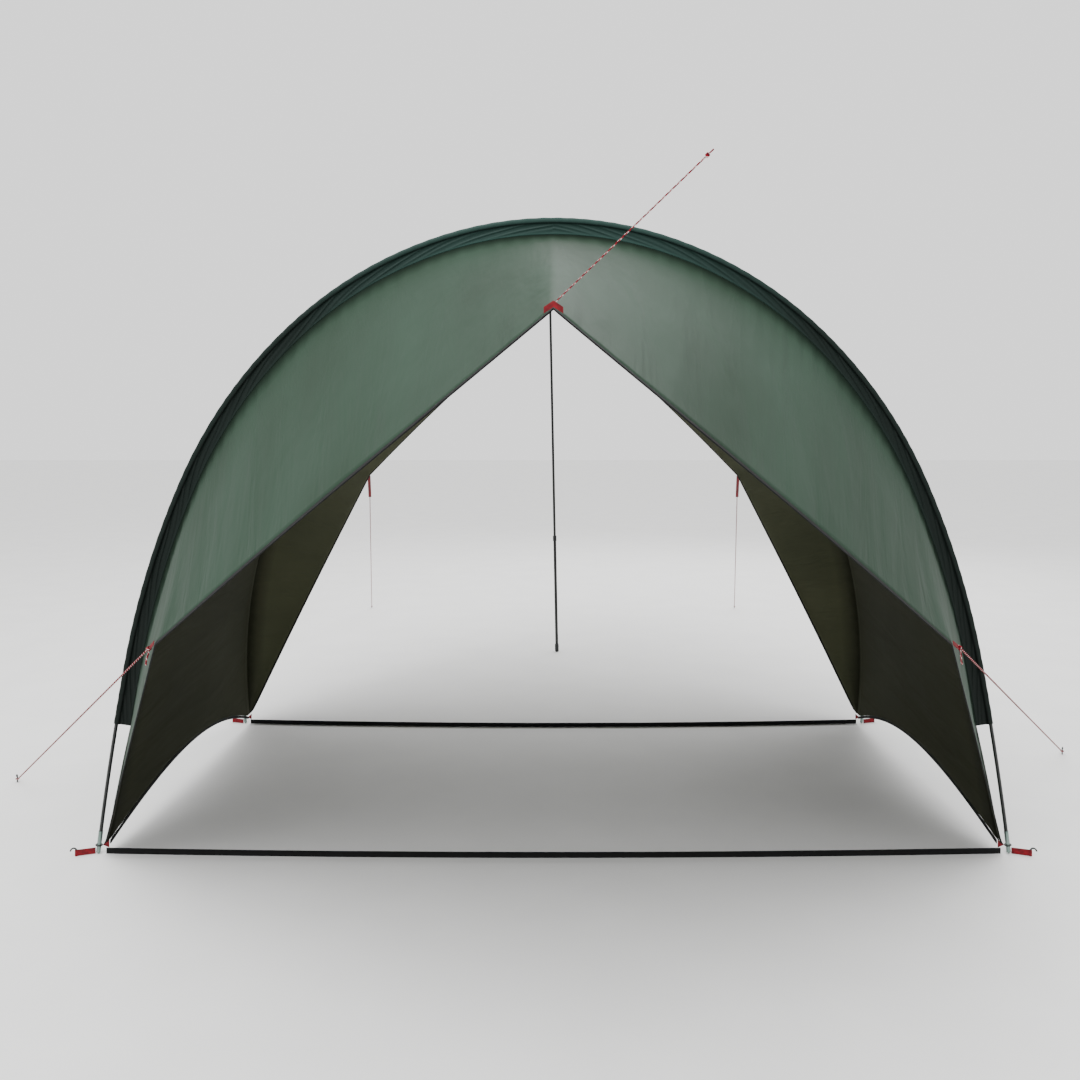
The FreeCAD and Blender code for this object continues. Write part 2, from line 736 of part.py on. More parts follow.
def make_rear_corner_straps(rear):
    """Long flat straps, their width level, from each rear corner out to its rope."""
    straps = []
    for side_name, side in SIDES:
        rope = rope_points(f"rear_{side_name}_guy_rope")[0]
        corner = corner_frame(rear, side)[0]
        toward = unit(rope - corner)
        start = corner + toward * (dim("hem_width") + dim("hem_thickness") / 2)
        end = rope - toward * dim("rope_gap")
        across = unit(AXIS_Z.cross(toward)) * (dim("rear_strap_width") / 2)
        straps.append(block([start - across, end - across, end + across, start + across], dim("webbing")))
    feature("rear_corner_straps", Part.makeCompound(straps))


def make_front_knots(front):
    """The knot that ties each front rope to its corner, with its hanging tail."""
    knots = []
    for side_name, side in SIDES:
        rope = rope_points(f"front_{side_name}_guy_rope")
        corner = corner_frame(front, side)[0]
        toward = unit(rope[0] - corner)
        middle = rope[0] - toward * (dim("knot_od") / 2)
        ball = Part.makeSphere(dim("knot_od") / 2 - dim("rope_gap") / 2, middle)
        drop = Vector(side * dim("knot_drift"), 0, -dim("knot_tail"))
        tail = Part.makeCylinder(dim("rope_od") / 2, drop.Length, middle, drop)
        knots.append(ball.fuse(tail))
    feature("front_rope_knots", Part.makeCompound(knots))


def make_peak_knot():
    """The stopper knot at the free end of the peak rope, with a short end beyond it."""
    start, end = rope_points("front_peak_guy_rope")
    along = unit(end - start)
    radius = dim("peak_knot_od") / 2
    middle = end + along * (radius + dim("rope_gap") / 2)
    tail = Part.makeCylinder(dim("peak_rope_od") / 2, dim("peak_knot_tail"), middle, along)
    feature("front_peak_rope_knot", Part.makeSphere(radius, middle).fuse(tail))


# ---------------------------------------------------------------- centre pole
# The top tube is as long as it takes to bring the spike's shoulder just under the rear peak's plate.
TOP_LENGTH = ("(Dims.rear_peak_height + Dims.seam_gap - Dims.spike_seat - Dims.foot_floor - Dims.lower_length"
              " + Dims.overlap - Dims.mid_length - 2 * Dims.tube_gap)")


def make_pole():
    ground = pole_placement(0)
    foot_bore = "(Dims.lower_od / 2 + Dims.foot_play)"
    turned("pole_foot", [("0", "0"), ("Dims.foot_od / 4", "Dims.foot_nose"),
                         ("Dims.foot_od / 2", "Dims.foot_shoulder"),
                         ("Dims.foot_od / 2", "Dims.foot_length"), (foot_bore, "Dims.foot_length"),
                         (foot_bore, "Dims.foot_floor"), ("0", "Dims.foot_floor")], ground)
    low = dim("foot_floor") + dim("tube_gap")
    lower = pole_placement(low)
    turned("pole_lower_tube", pipe_outline("lower_od", "lower_bore", "0", "Dims.lower_length"), lower)
    top = low + dim("lower_length")
    lip = "(Dims.upper_od / 2 + Dims.run_play)"
    grip = "(Dims.lower_od / 2 + Dims.foot_play)"
    turned("pole_lock_collar",
           [(grip, "-Dims.collar_length"),
            ("Dims.collar_od / 2 - Dims.collar_chamfer", "-Dims.collar_length"),
            ("Dims.collar_od / 2", "-Dims.collar_length + Dims.collar_chamfer_run"),
            ("Dims.collar_od / 2", "Dims.collar_lip - Dims.collar_chamfer_run"),
            ("Dims.collar_od / 2 - Dims.lip_chamfer", "Dims.collar_lip"), (lip, "Dims.collar_lip"),
            (lip, "Dims.tube_gap"), (grip, "Dims.tube_gap")], pole_placement(top))
    mid = top - dim("overlap")
    turned("pole_middle_tube", pipe_outline("upper_od", "upper_bore", "0", "Dims.mid_length"),
           pole_placement(mid))
    joint = mid + dim("mid_length")
    turned("pole_top_tube", pipe_outline("upper_od", "upper_bore", "0", TOP_LENGTH),
           pole_placement(joint + dim("tube_gap")))
    turned("pole_spigot", [("0", "-Dims.spigot_length / 2"),
                           ("Dims.spigot_od / 2", "-Dims.spigot_length / 2"),
                           ("Dims.spigot_od / 2", "Dims.spigot_length / 2"),
                           ("0", "Dims.spigot_length / 2")], pole_placement(joint))
    tip = joint + dim("tube_gap") + value(TOP_LENGTH)
    turned("pole_spike", [("0", "-Dims.spike_plug"), ("Dims.spigot_od / 2", "-Dims.spike_plug"),
                          ("Dims.spigot_od / 2", "Dims.tube_gap"), ("Dims.upper_od / 2", "Dims.tube_gap"),
                          ("Dims.upper_od / 2", "Dims.spike_shoulder"),
                          ("Dims.spike_od / 2", "Dims.spike_neck"),
                          ("Dims.spike_od / 2", "Dims.spike_length - Dims.spike_point"),
                          ("Dims.spike_tip", "Dims.spike_length"), ("0", "Dims.spike_length")],
           pole_placement(tip))
    runner = "(Dims.lower_bore / 2 - Dims.run_play)"
    turned("pole_lock_plug", [("0", "-Dims.plug_length"),
                              (f"{runner} - Dims.plug_chamfer", "-Dims.plug_length"),
                              (runner, "-Dims.plug_length + Dims.plug_chamfer_run"),
                              (runner, "-Dims.plug_gap"), ("Dims.stem_od / 2", "-Dims.plug_gap"),
                              ("Dims.stem_od / 2", "Dims.stem_length"), ("0", "Dims.stem_length")],
           pole_placement(mid))
    thread = "(Dims.stem_od / 2 + Dims.run_play)"
    turned("pole_lock_insert", [(thread, "Dims.plug_gap"), ("Dims.insert_od / 2", "Dims.plug_gap"),
                                ("Dims.insert_od / 2", "Dims.insert_length"),
                                (thread, "Dims.insert_length")], pole_placement(mid))


# ---------------------------------------------------------------- the whole tent
def make_tent():
    for arch in ARCHES:
        make_tubes(arch)
        make_ferrules(arch)
        make_elastic(arch)
        make_ends(arch)
        make_sleeve(arch)
        make_ground_strap(arch)
    front = Awning(FRONT, -1)
    rear = Awning(REAR, 1)
    make_roof()
    make_awning(front)
    make_awning(rear)
    make_hems((front, rear))
    make_rings()
    make_foot_tabs()
    make_peg_loops()
    make_foot_pegs()
    make_front_peak_tab(front)
    make_rear_peak_tab()
    make_ropes()
    make_guy_pegs()
    make_front_corner_tabs(front)
    make_rear_corner_straps(rear)
    make_front_knots(front)
    make_peak_knot()
    make_pole()


def check_and_write():
    DOC.recompute()
    for thing in DOC.Objects:
        bad = {"Invalid", "Error"} & set(thing.State)
        assert not bad, f"{thing.Label} is {bad}"
    for part in PARTS:
        assert not part.Shape.isNull() and part.Shape.isValid(), f"{part.Label} has a bad shape"
        assert part.Shape.Solids, f"{part.Label} has no solid"
    os.makedirs("parts", exist_ok=True)
    for part in PARTS:
        part.Shape.exportStep(os.path.join("parts", f"{part.Label}.step"))
    print(len(PARTS), "parts written")


make_tent()
check_and_write()
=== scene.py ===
# %% [markdown]
# # An arch tent on poles
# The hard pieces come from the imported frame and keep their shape. Everything sewn or tied is built here as
# what it is: cloth, webbing and rope. All lengths are in metres, in the frame's own axes: +Z up, front to -Y.

# %% Load the frame
import json
import math

import bmesh
import bpy
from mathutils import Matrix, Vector, noise


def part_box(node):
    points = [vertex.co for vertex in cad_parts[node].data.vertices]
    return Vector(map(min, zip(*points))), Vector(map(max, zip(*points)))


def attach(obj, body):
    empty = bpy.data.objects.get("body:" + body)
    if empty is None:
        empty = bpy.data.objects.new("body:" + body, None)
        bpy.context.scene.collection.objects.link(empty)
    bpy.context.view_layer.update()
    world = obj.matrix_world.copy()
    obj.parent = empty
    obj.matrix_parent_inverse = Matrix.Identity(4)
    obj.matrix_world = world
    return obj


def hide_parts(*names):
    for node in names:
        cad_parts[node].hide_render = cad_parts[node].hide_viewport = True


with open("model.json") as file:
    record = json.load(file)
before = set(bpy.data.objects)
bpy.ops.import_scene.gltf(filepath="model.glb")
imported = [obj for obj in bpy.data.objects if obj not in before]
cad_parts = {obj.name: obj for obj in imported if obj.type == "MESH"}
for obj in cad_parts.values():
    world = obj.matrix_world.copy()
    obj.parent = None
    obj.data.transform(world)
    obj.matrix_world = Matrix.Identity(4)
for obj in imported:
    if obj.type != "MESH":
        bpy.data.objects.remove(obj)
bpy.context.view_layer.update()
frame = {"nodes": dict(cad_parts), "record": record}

# %% [markdown]
# ## Camera
# A level camera at eye height sees upright poles as upright. The lens is a plain wide-normal one, and a small
# shift frames the tent without tilting the camera, so nothing converges.

# %% Camera
FRONT_Y = -0.835            # the front arch
REAR_Y = 0.700              # the rear arch
EYE_HEIGHT = 1.395
EYE_DISTANCE = 3.360        # from the eye to the front arch
camera_data = bpy.data.cameras.new("eye_height_camera")
camera_data.lens = 33.333
camera_data.sensor_width = 36
camera_data.shift_x = -0.0125
camera_data.shift_y = -0.094
camera = bpy.data.objects.new("eye_height_camera", camera_data)
camera.location = (0, FRONT_Y - EYE_DISTANCE, EYE_HEIGHT)
camera.rotation_euler = (math.radians(90), 0, 0)
bpy.context.scene.collection.objects.link(camera)
bpy.context.scene.camera = camera
print("camera at", tuple(round(v, 3) for v in camera.location))

# %% [markdown]
# ## Shared sizes
# Sizes that several steps use, in metres.

# %% Shared sizes
START = 0.034               # length along the pole where the canopy begins
SLEEVE_START = 0.430        # length along the pole where the sleeve begins
SLEEVE_END = 5.35           # and where it ends
CLOTH = 0.0012
HEM_WIDTH, HEM_THICK = 0.0118, 0.0032
WEBBING = 0.0017
ROPE, PEAK_ROPE = 0.005, 0.0025
BRAID_TURN = 0.019          # one twist of the braid
print("cloth", CLOTH, "hem", HEM_WIDTH, "rope", ROPE)

# %% [markdown]
# ## Small tools
# A colour is written as on a paint card, in hex, and turned to the linear numbers that the renderer adds up.
# One function adds any shader node with its settings and links.

# %% Colour and node helpers
def paint(hex_code):
    """Linear RGBA of an sRGB hex colour."""
    channels = [int(hex_code[i:i + 2], 16) / 255 for i in (0, 2, 4)]
    return tuple(c / 12.92 if c <= 0.04045 else ((c + 0.055) / 1.055) ** 2.4 for c in channels) + (1,)


def add(material, kind, inputs=None, **settings):
    """Adds a node; an input is a number, a colour or another node's (node, output name) pair."""
    node = material.node_tree.nodes.new(kind)
    for name, setting in settings.items():
        setattr(node, name, setting)
    for name, given in (inputs or {}).items():
        linked = isinstance(given, tuple) and len(given) == 2 and hasattr(given[0], "outputs")
        if linked:
            material.node_tree.links.new(given[0].outputs[given[1]], node.inputs[name])
        else:
            node.inputs[name].default_value = given
    return node


def new_material(name):
    material = bpy.data.materials.new(name)
    material.use_nodes = True
    material.node_tree.nodes.clear()
    return material


def finish_material(material, surface):
    add(material, "ShaderNodeOutputMaterial", {"Surface": (surface, "BSDF")})
    return material


def ramp(material, factor, stops):
    """A colour ramp with stops of (position, hex)."""
    node = add(material, "ShaderNodeValToRGB", {"Fac": factor})
    elements = node.color_ramp.elements
    while len(elements) < len(stops):
        elements.new(0.5)
    for element, (position, hex_code) in zip(elements, stops):
        element.position = position
        element.color = paint(hex_code)
    return node


# %% [markdown]
# ## Coated polyester taffeta
# The canopy is thin woven polyester with a waterproof coating. Outside it is a grey green with a faint dry
# gloss; inside, the coating and the shade make it olive. A real thread is about 0.15 mm and cannot show at
# this distance, so the weave is drawn ten times coarser. The long soft creases come from folding and tension.

# %% Taffeta
SEAM_SHADE_REACH = 0.11         # how far from the seam the painted shade reaches
WEAVE_PER_METRE = (660, 660, 660)


def taffeta(name, light, dark, rough, crease_mm):
    material = new_material(name)
    place = add(material, "ShaderNodeUVMap", uv_map="metres")
    tone_map = add(material, "ShaderNodeMapping", {"Vector": (place, "UV"), "Scale": (2.2, 0.8, 1)})
    tone = add(material, "ShaderNodeTexNoise", {"Vector": (tone_map, "Vector"), "Scale": 1.0, "Detail": 4.0})
    colour = ramp(material, (tone, "Fac"), [(0.34, dark), (0.66, light)])
    parts = add(material, "ShaderNodeSeparateXYZ", {"Vector": (place, "UV")})
    # Painted shade: the cloth is painted darker close to the seam and fades to its own colour further out.
    from_seam = add(material, "ShaderNodeMapRange", {"Value": (parts, "Y"), "From Min": 0.0,
                                                     "From Max": SEAM_SHADE_REACH})
    near_seam = ramp(material, (from_seam, "Result"), [(0.0, "8C8C8C"), (0.45, "D8D8D8"),
                                                    (1.0, "FFFFFF")])
    shaded = add(material, "ShaderNodeMixRGB", {"Fac": 1.0, "Color1": (colour, "Color"),
                                                "Color2": (near_seam, "Color")}, blend_type="MULTIPLY")
    crease_map = add(material, "ShaderNodeMapping", {"Vector": (place, "UV"), "Scale": (9, 1.3, 1),
                                                     "Rotation": (0, 0, 0.25)})
    crease = add(material, "ShaderNodeTexNoise", {"Vector": (crease_map, "Vector"), "Scale": 1.0,
                                                  "Detail": 3.0, "Distortion": 0.4})
    crumple = add(material, "ShaderNodeTexNoise", {"Vector": (place, "UV"), "Scale": 7.0, "Detail": 6.0,
                                                   "Roughness": 0.45})
    weave_map = add(material, "ShaderNodeMapping", {"Vector": (place, "UV"), "Scale": WEAVE_PER_METRE})
    weave = add(material, "ShaderNodeTexChecker", {"Vector": (weave_map, "Vector"), "Scale": 1.0})
    deep = add(material, "ShaderNodeBump", {"Height": (crease, "Fac"), "Strength": 0.9,
                                            "Distance": crease_mm / 1000})
    small = add(material, "ShaderNodeBump", {"Height": (crumple, "Fac"), "Strength": 0.35, "Distance": 0.004,
                                             "Normal": (deep, "Normal")})
    fine = add(material, "ShaderNodeBump", {"Height": (weave, "Fac"), "Strength": 0.05, "Distance": 0.0003,
                                            "Normal": (small, "Normal")})
    cloth = add(material, "ShaderNodeBsdfPrincipled", {
        "Base Color": (shaded, "Color"), "Roughness": rough, "IOR": 1.45, "Specular IOR Level": 0.12,
        "Normal": (fine, "Normal")})
    return finish_material(material, cloth)


outer_taffeta = taffeta("coated_taffeta_outside", "2A3E31", "223427", 0.62, 16)
inner_taffeta = taffeta("coated_taffeta_inside", "2D2F1F", "27291A", 0.85, 14)
# Painted light: the rear awning's inside is the same cloth as the front's inside, painted lighter where more
# light reaches it.
lit_inside_taffeta = taffeta("coated_taffeta_inside_painted_light", "484A36", "3F4230", 0.85, 16)
print("taffeta ready")

# %% [markdown]
# ## Sleeve cloth
# A pole sleeve is the same taffeta, doubled, painted darker than the canopy as painted shade. Over the pole
# it is stretched and painted lighter as if it caught the sky; past the stitching it is loose and painted as
# shaded. The painted light and shade follow the distance from the pole, in metres, and are lighter near the
# top of the arch.

# %% Sleeve material
def sleeve_taffeta():
    material = new_material("coated_taffeta_sleeve")
    place = add(material, "ShaderNodeUVMap", uv_map="metres")
    parts = add(material, "ShaderNodeSeparateXYZ", {"Vector": (place, "UV")})
    along = add(material, "ShaderNodeMapRange", {"Value": (parts, "X"), "From Min": SLEEVE_START,
                                                 "From Max": SLEEVE_END})
    # Painted shade along the arch: dark towards the feet, painted lighter near the top, where the sleeve
    # faces the sky.
    painted_shade_along_arch = ramp(material, (along, "Result"), [(0.0, "101A16"), (0.30, "15231E"), (0.44, "2A453F"),
                                               (0.56, "2A453F"), (0.70, "15231E"), (1.0, "101A16")])
    # Painted light across the sleeve: lighter over the pole, a thin darker line where the pocket meets the
    # web, then painted shade on the web.
    depth = add(material, "ShaderNodeMapRange", {"Value": (parts, "Y"), "From Min": -0.009,
                                                 "From Max": 0.050})
    painted_light_and_shade_across = ramp(material, (depth, "Result"), [(0.0, "E8E8E8"), (0.25, "D0D0D0"), (0.33, "707070"),
                                               (0.40, "B8B8B8"), (0.8, "C8C8C8"), (1.0, "FFFFFF")])
    colour = add(material, "ShaderNodeMixRGB", {"Fac": 1.0, "Color1": (painted_shade_along_arch, "Color"),
                                                "Color2": (painted_light_and_shade_across, "Color")}, blend_type="MULTIPLY")
    crease_map = add(material, "ShaderNodeMapping", {"Vector": (place, "UV"), "Scale": (42, 12, 1)})
    crease = add(material, "ShaderNodeTexNoise", {"Vector": (crease_map, "Vector"), "Scale": 1.0,
                                                  "Detail": 3.0})
    bump = add(material, "ShaderNodeBump", {"Height": (crease, "Fac"), "Strength": 0.5, "Distance": 0.004})
    cloth = add(material, "ShaderNodeBsdfPrincipled", {
        "Base Color": (colour, "Color"), "Roughness": 0.5, "IOR": 1.45, "Specular IOR Level": 0.15,
        "Normal": (bump, "Normal")})
    return finish_material(material, cloth)


sleeve_cloth = sleeve_taffeta()
print("sleeve taffeta ready")

# %% [markdown]
# ## Webbing
# Polyester webbing is a thick ribbed weave. Its ribs run across the strap about every 1.2 mm, drawn at 2.4 mm
# so they show. Two rows of stitching run along the edges of the hem binding; they are not drawn.

# %% Webbing
RIB_PITCH = 0.0024


def webbing(name, light, dark, rough):
    material = new_material(name)
    place = add(material, "ShaderNodeUVMap", uv_map="metres")
    parts = add(material, "ShaderNodeSeparateXYZ", {"Vector": (place, "UV")})
    rib = add(material, "ShaderNodeMath", {0: (parts, "X"), 1: 2 * math.pi / RIB_PITCH},
              operation="MULTIPLY")
    wave = add(material, "ShaderNodeMath", {0: (rib, "Value")}, operation="SINE")
    wear = add(material, "ShaderNodeTexNoise", {"Vector": (place, "UV"), "Scale": 60.0, "Detail": 4.0})
    colour = ramp(material, (wear, "Fac"), [(0.35, dark), (0.7, light)])
    bump = add(material, "ShaderNodeBump", {"Height": (wave, "Value"), "Strength": 0.4, "Distance": 0.0005})
    woven = add(material, "ShaderNodeBsdfPrincipled", {
        "Base Color": (colour, "Color"), "Roughness": rough, "IOR": 1.35, "Normal": (bump, "Normal")})
    return finish_material(material, woven)


black_webbing = webbing("black_polyester_webbing", "080A0A", "030404", 0.85)
red_webbing = webbing("red_polyester_webbing", "860B1A", "4E0810", 0.8)
print("black and red webbing ready")

# %% [markdown]
# ## Braided rope
# The guy rope is red yarn with white flecks that wind round it, one turn every 19 mm or so. The gaps
# between the strands are painted darker, as painted shade.

# %% Rope
def braid():
    material = new_material("red_white_braided_polyester")
    place = add(material, "ShaderNodeUVMap", uv_map="metres")
    parts = add(material, "ShaderNodeSeparateXYZ", {"Vector": (place, "UV")})
    run = add(material, "ShaderNodeMath", {0: (parts, "X"), 1: 2 * math.pi / BRAID_TURN},
              operation="MULTIPLY")
    around = add(material, "ShaderNodeMath", {0: (parts, "Y"), 1: 2 / ROPE}, operation="MULTIPLY")
    phase = add(material, "ShaderNodeMath", {0: (run, "Value"), 1: (around, "Value")}, operation="ADD")
    twist = add(material, "ShaderNodeMath", {0: (phase, "Value")}, operation="SINE")
    level = add(material, "ShaderNodeMapRange", {"Value": (twist, "Value"), "From Min": -1.0,
                                                 "From Max": 1.0})
    # Painted shade: the low end of this ramp darkens the grooves between the strands.
    colour = ramp(material, (level, "Result"), [(0.0, "3E0811"), (0.3, "7C1020"), (0.86, "861425"),
                                                (0.92, "A89E9A"), (1.0, "C4BBB7")])
    bump = add(material, "ShaderNodeBump", {"Height": (level, "Result"), "Strength": 0.5, "Distance": 0.0008})
    yarn = add(material, "ShaderNodeBsdfPrincipled", {
        "Base Color": (colour, "Color"), "Roughness": 0.85, "IOR": 1.4, "Specular IOR Level": 0.15,
        "Normal": (bump, "Normal")})
    return finish_material(material, yarn)


rope_braid = braid()
print("braid ready")

# %% [markdown]
# ## Hard finishes
# Fibreglass rod is smooth and black with a slight sheen. The ends are dull aluminium tube. The centre pole is
# powder-coated steel, which has a fine orange-peel skin, and its spike is bright zinc.

# %% Hard materials
def solid_finish(name, light, dark, rough, metallic, grain_mm, depth_mm):
    material = new_material(name)
    place = add(material, "ShaderNodeTexCoord")
    grain = add(material, "ShaderNodeTexNoise", {"Vector": (place, "Object"), "Scale": 1000 / grain_mm,
                                                 "Detail": 3.0})
    cloud = add(material, "ShaderNodeTexNoise", {"Vector": (place, "Object"), "Scale": 18.0, "Detail": 5.0})
    colour = ramp(material, (cloud, "Fac"), [(0.35, dark), (0.65, light)])
    patchy = add(material, "ShaderNodeMapRange", {"Value": (cloud, "Fac"), "To Min": rough - 0.06,
                                                  "To Max": rough + 0.08})
    bump = add(material, "ShaderNodeBump", {"Height": (grain, "Fac"), "Strength": 0.3,
                                            "Distance": depth_mm / 1000})
    skin = add(material, "ShaderNodeBsdfPrincipled", {
        "Base Color": (colour, "Color"), "Roughness": (patchy, "Result"), "Metallic": metallic, "IOR": 1.5,
        "Normal": (bump, "Normal")})
    return finish_material(material, skin)


HARD = {
    "black_fibreglass": solid_finish("pultruded_black_fibreglass", "0C1010", "060909", 0.35, 0, 2, 0.1),
    "ferrule_steel": solid_finish("bright_tube_steel", "B4B6B4", "9A9D9B", 0.3, 1, 1, 0.02),
    "elastic_cord": solid_finish("braided_elastic", "D8D8D0", "BEBEB6", 0.85, 0, 1, 0.2),
    "grey_pole_end": solid_finish("dull_anodised_aluminium", "8A9C96", "6C7E78", 0.42, 0.85, 1.5, 0.03),
    "peg_steel": solid_finish("black_zinc_plated_wire", "303432", "1E2120", 0.45, 0.6, 1.5, 0.05),
    "black_plastic": solid_finish("moulded_black_nylon", "1E2121", "151818", 0.55, 0, 1, 0.05),
    "black_steel_tube": solid_finish("black_powder_coated_steel", "0E1211", "080B0A", 0.45, 0, 1.2, 0.08),
    "spike_steel": solid_finish("zinc_plated_steel", "B0B4B4", "8E9292", 0.32, 1, 1, 0.03),
}
for part in frame["record"]["subparts"]:
    if part["material_slot"] in HARD:
        skin = frame["nodes"][part["node"]].data
        skin.materials.clear()
        skin.materials.append(HARD[part["material_slot"]])
print(len(HARD), "hard finishes")

# %% [markdown]
# ## The bent poles
# Each arch is a chain of nine tubes, every one bent to its own arc. Knowing the chain, any length along the
# pole gives a point and a heading, and every sewn edge of the tent can be placed from that.

# %% Arches
TUBES = 9
TUBE = 0.642                # length of one tube
PIN = 0.012                 # height of the tube's end over the ground


def arch_chain(lean, turns, y):
    """The arch's tubes as (x, z, heading, turn) at each one's start, and its half length and span."""
    turns = turns + [2 * (90 - lean - sum(turns))] + turns[::-1]
    chain = []
    x, z, heading = 0.0, PIN, 90 - lean
    for turn in turns:
        chain.append((x, z, heading, turn))
        half = math.radians(turn) / 2
        chord = TUBE * math.sin(half) / half
        x += chord * math.cos(math.radians(heading) - half)
        z += chord * math.sin(math.radians(heading) - half)
        heading -= turn
    return {"chain": chain, "y": y, "span": x / 2, "half": TUBES / 2 * TUBE}


def heading_at(arch, s):
    tube = min(int(s // TUBE), TUBES - 1)
    return math.radians(arch["chain"][tube][2] - arch["chain"][tube][3] * (s - tube * TUBE) / TUBE)


def on_arch(arch, s, inset=0.0, y=0.0):
    """The point at length s along the pole, moved inwards by inset."""
    tube = min(int(s // TUBE), TUBES - 1)
    x, z, heading, turn = arch["chain"][tube]
    radius = TUBE / math.radians(turn)
    start, now = math.radians(heading), heading_at(arch, s)
    x += radius * math.sin(start) - (radius - inset) * math.sin(now) - arch["span"]
    z += -radius * math.cos(start) + (radius - inset) * math.cos(now)
    return Vector((x, arch["y"] + y, z))


FRONT = arch_chain(6.8, [3.7, 13.2, 23.6, 27.4], FRONT_Y)
REAR = arch_chain(-6.8, [15.4, 19.4, 23.2, 25.7], REAR_Y)
FRONT.update(web=0.048, away=-1)
REAR.update(web=0.022, away=1)
for arch in (FRONT, REAR):
    top = on_arch(arch, arch["half"])
    print("arch top", tuple(round(v, 3) for v in top), "half span", round(arch["span"], 3))

# %% [markdown]
# ## From rows of points to a mesh
# Cloth, hems and straps are all grids: rows of points joined by four-sided faces. The same grid carries a
# second pair of numbers for each point, its place on the flat cloth in metres, which the weaves follow.

# %% Grid mesh helpers
def grid_mesh(name, rows, places, materials, ring=False):
    """A mesh from rows of points; ring joins each row's last point to its first."""
    count = len(rows[0])
    across = count if ring else count - 1
    faces = [(r * count + c, (r + 1) * count + c,
              (r + 1) * count + (c + 1) % count, r * count + (c + 1) % count)
             for r in range(len(rows) - 1) for c in range(across)]
    mesh = bpy.data.meshes.new(name)
    mesh.from_pydata([point for row in rows for point in row], [], faces)
    flat = [place for row in places for place in row]
    layer = mesh.uv_layers.new(name="metres")
    for loop in mesh.loops:
        layer.data[loop.index].uv = flat[loop.vertex_index]
    for material in materials:
        mesh.materials.append(material)
    mesh.polygons.foreach_set("use_smooth", [True] * len(mesh.polygons))
    piece = bpy.data.objects.new(name, mesh)
    bpy.context.scene.collection.objects.link(piece)
    return piece


def join(name, pieces):
    """One object from several; a sewn set is easier to handle as one."""
    with bpy.context.temp_override(active_object=pieces[0], selected_editable_objects=pieces,
                                   object=pieces[0], selected_objects=pieces):
        bpy.ops.object.join()
    pieces[0].name = name
    return pieces[0]


def mirror_x(point):
    return Vector((-point.x, point.y, point.z))


def area_of(piece):
    return sum(face.area for face in piece.data.polygons)


def thicken(piece):
    """Gives cloth its thickness; the inner skin takes the next material slot."""
    skin = piece.modifiers.new("cloth_thickness", "SOLIDIFY")
    skin.thickness = CLOTH
    skin.offset = 0
    skin.material_offset = 1
    return piece


# %% [markdown]
# ## Awnings
# Each awning hangs from its arch and is pulled out to a hem with two corners and a peak. Straight rulings
# from the arch to the hem are what taut cloth does. Small waves are added: they fan out from the corners and
# the peak, where the pull is strongest, and fade towards the middle.

# %% Awning shape
SEAM_INSET = 0.001          # from the edge of the sleeve's web to the seam
FREE_INSET = 0.024          # from the pole to the canopy where there is no sleeve
SEAM_SIDE = 0.002           # from the arch's middle to the cloth's sewn edge
FOOT_SIDE = 0.014           # from the arch's middle to the awning's corner at the foot


def seam(arch, s, y=0.0):
    """Where the canopy is sewn on, inside the sleeve's web."""
    share = min(min(s, 2 * arch["half"] - s) / SLEEVE_START, 1)
    return on_arch(arch, s, FREE_INSET * (1 - share) + (arch["web"] + SEAM_INSET) * share, y)


def awning_hem(arch, cut, s):
    """The hem point of the ruling that starts at s on the left half."""
    foot = seam(arch, START, arch["away"] * FOOT_SIDE)
    if s <= cut["turn"]:
        start, end, bow = foot, cut["corner"], cut["side_bow"]
        share = (s - START) / (cut["turn"] - START)
    else:
        start, end, bow = cut["corner"], cut["peak"], cut["top_bow"]
        share = (s - cut["turn"]) / (arch["half"] - cut["turn"])
    chord = start.lerp(end, share)
    pull = (seam(arch, s, arch["away"] * SEAM_SIDE) - chord).normalized()
    return chord + pull * (4 * bow * share * (1 - share))


def ruling(arch, cut, s):
    """Root and hem of the ruling at s, on either half."""
    if s > arch["half"]:
        root, hem = ruling(arch, cut, 2 * arch["half"] - s)
        return mirror_x(root), mirror_x(hem)
    return seam(arch, s, arch["away"] * SEAM_SIDE), awning_hem(arch, cut, s)


FRONT_CUT = {"corner": Vector((-1.070, FRONT_Y - 0.672, 0.845)), "turn": 1.150,
             "peak": Vector((0, FRONT_Y - 1.512, 1.636)), "side_bow": 0.012, "top_bow": 0.018}
REAR_CUT = {"corner": Vector((-1.041, REAR_Y + 0.747, 1.189)), "turn": 1.400,
            "peak": Vector((0, REAR_Y + 1.623, 2.300)), "side_bow": 0.010, "top_bow": 0.045}


def station_list(arch, cut, count):
    """Even lengths along the pole that also land on both corners and the top."""
    marks = [START, cut["turn"], arch["half"], 2 * arch["half"] - cut["turn"], 2 * arch["half"] - START]
    out = []
    for low, high in zip(marks, marks[1:]):
        steps = max(8, round(count * (high - low) / (marks[-1] - marks[0])))
        out += [low + (high - low) * i / steps for i in range(steps)]
    return out + [marks[-1]]


def ripple(arch, cut, s, t):
    """Height of the tension waves at ruling s, share t from the pole to the hem."""
    half = arch["half"]
    side = min(s, 2 * half - s)
    near_corner = math.exp(-abs(side - cut["turn"]) / 0.30)
    near_peak = math.exp(-abs(s - half) / 0.22)
    fan = 0.0035 * near_corner * t * math.sin(side * 46)
    fan += 0.003 * near_peak * t * t * math.sin((s - half) * 70 + 0.8)
    near_seam = 0.0030 * math.exp(-t * 9) * math.sin(s * 95 + 3 * noise.noise(Vector((s * 5, 0, 0))))
    billow = 0.007 * noise.noise(Vector((s * 2.6, t * 2.0, arch["y"])))
    return (fan + near_seam + billow) * math.sin(math.pi * min(1, t * 12) / 2) * min(1, (1 - t) * 14)


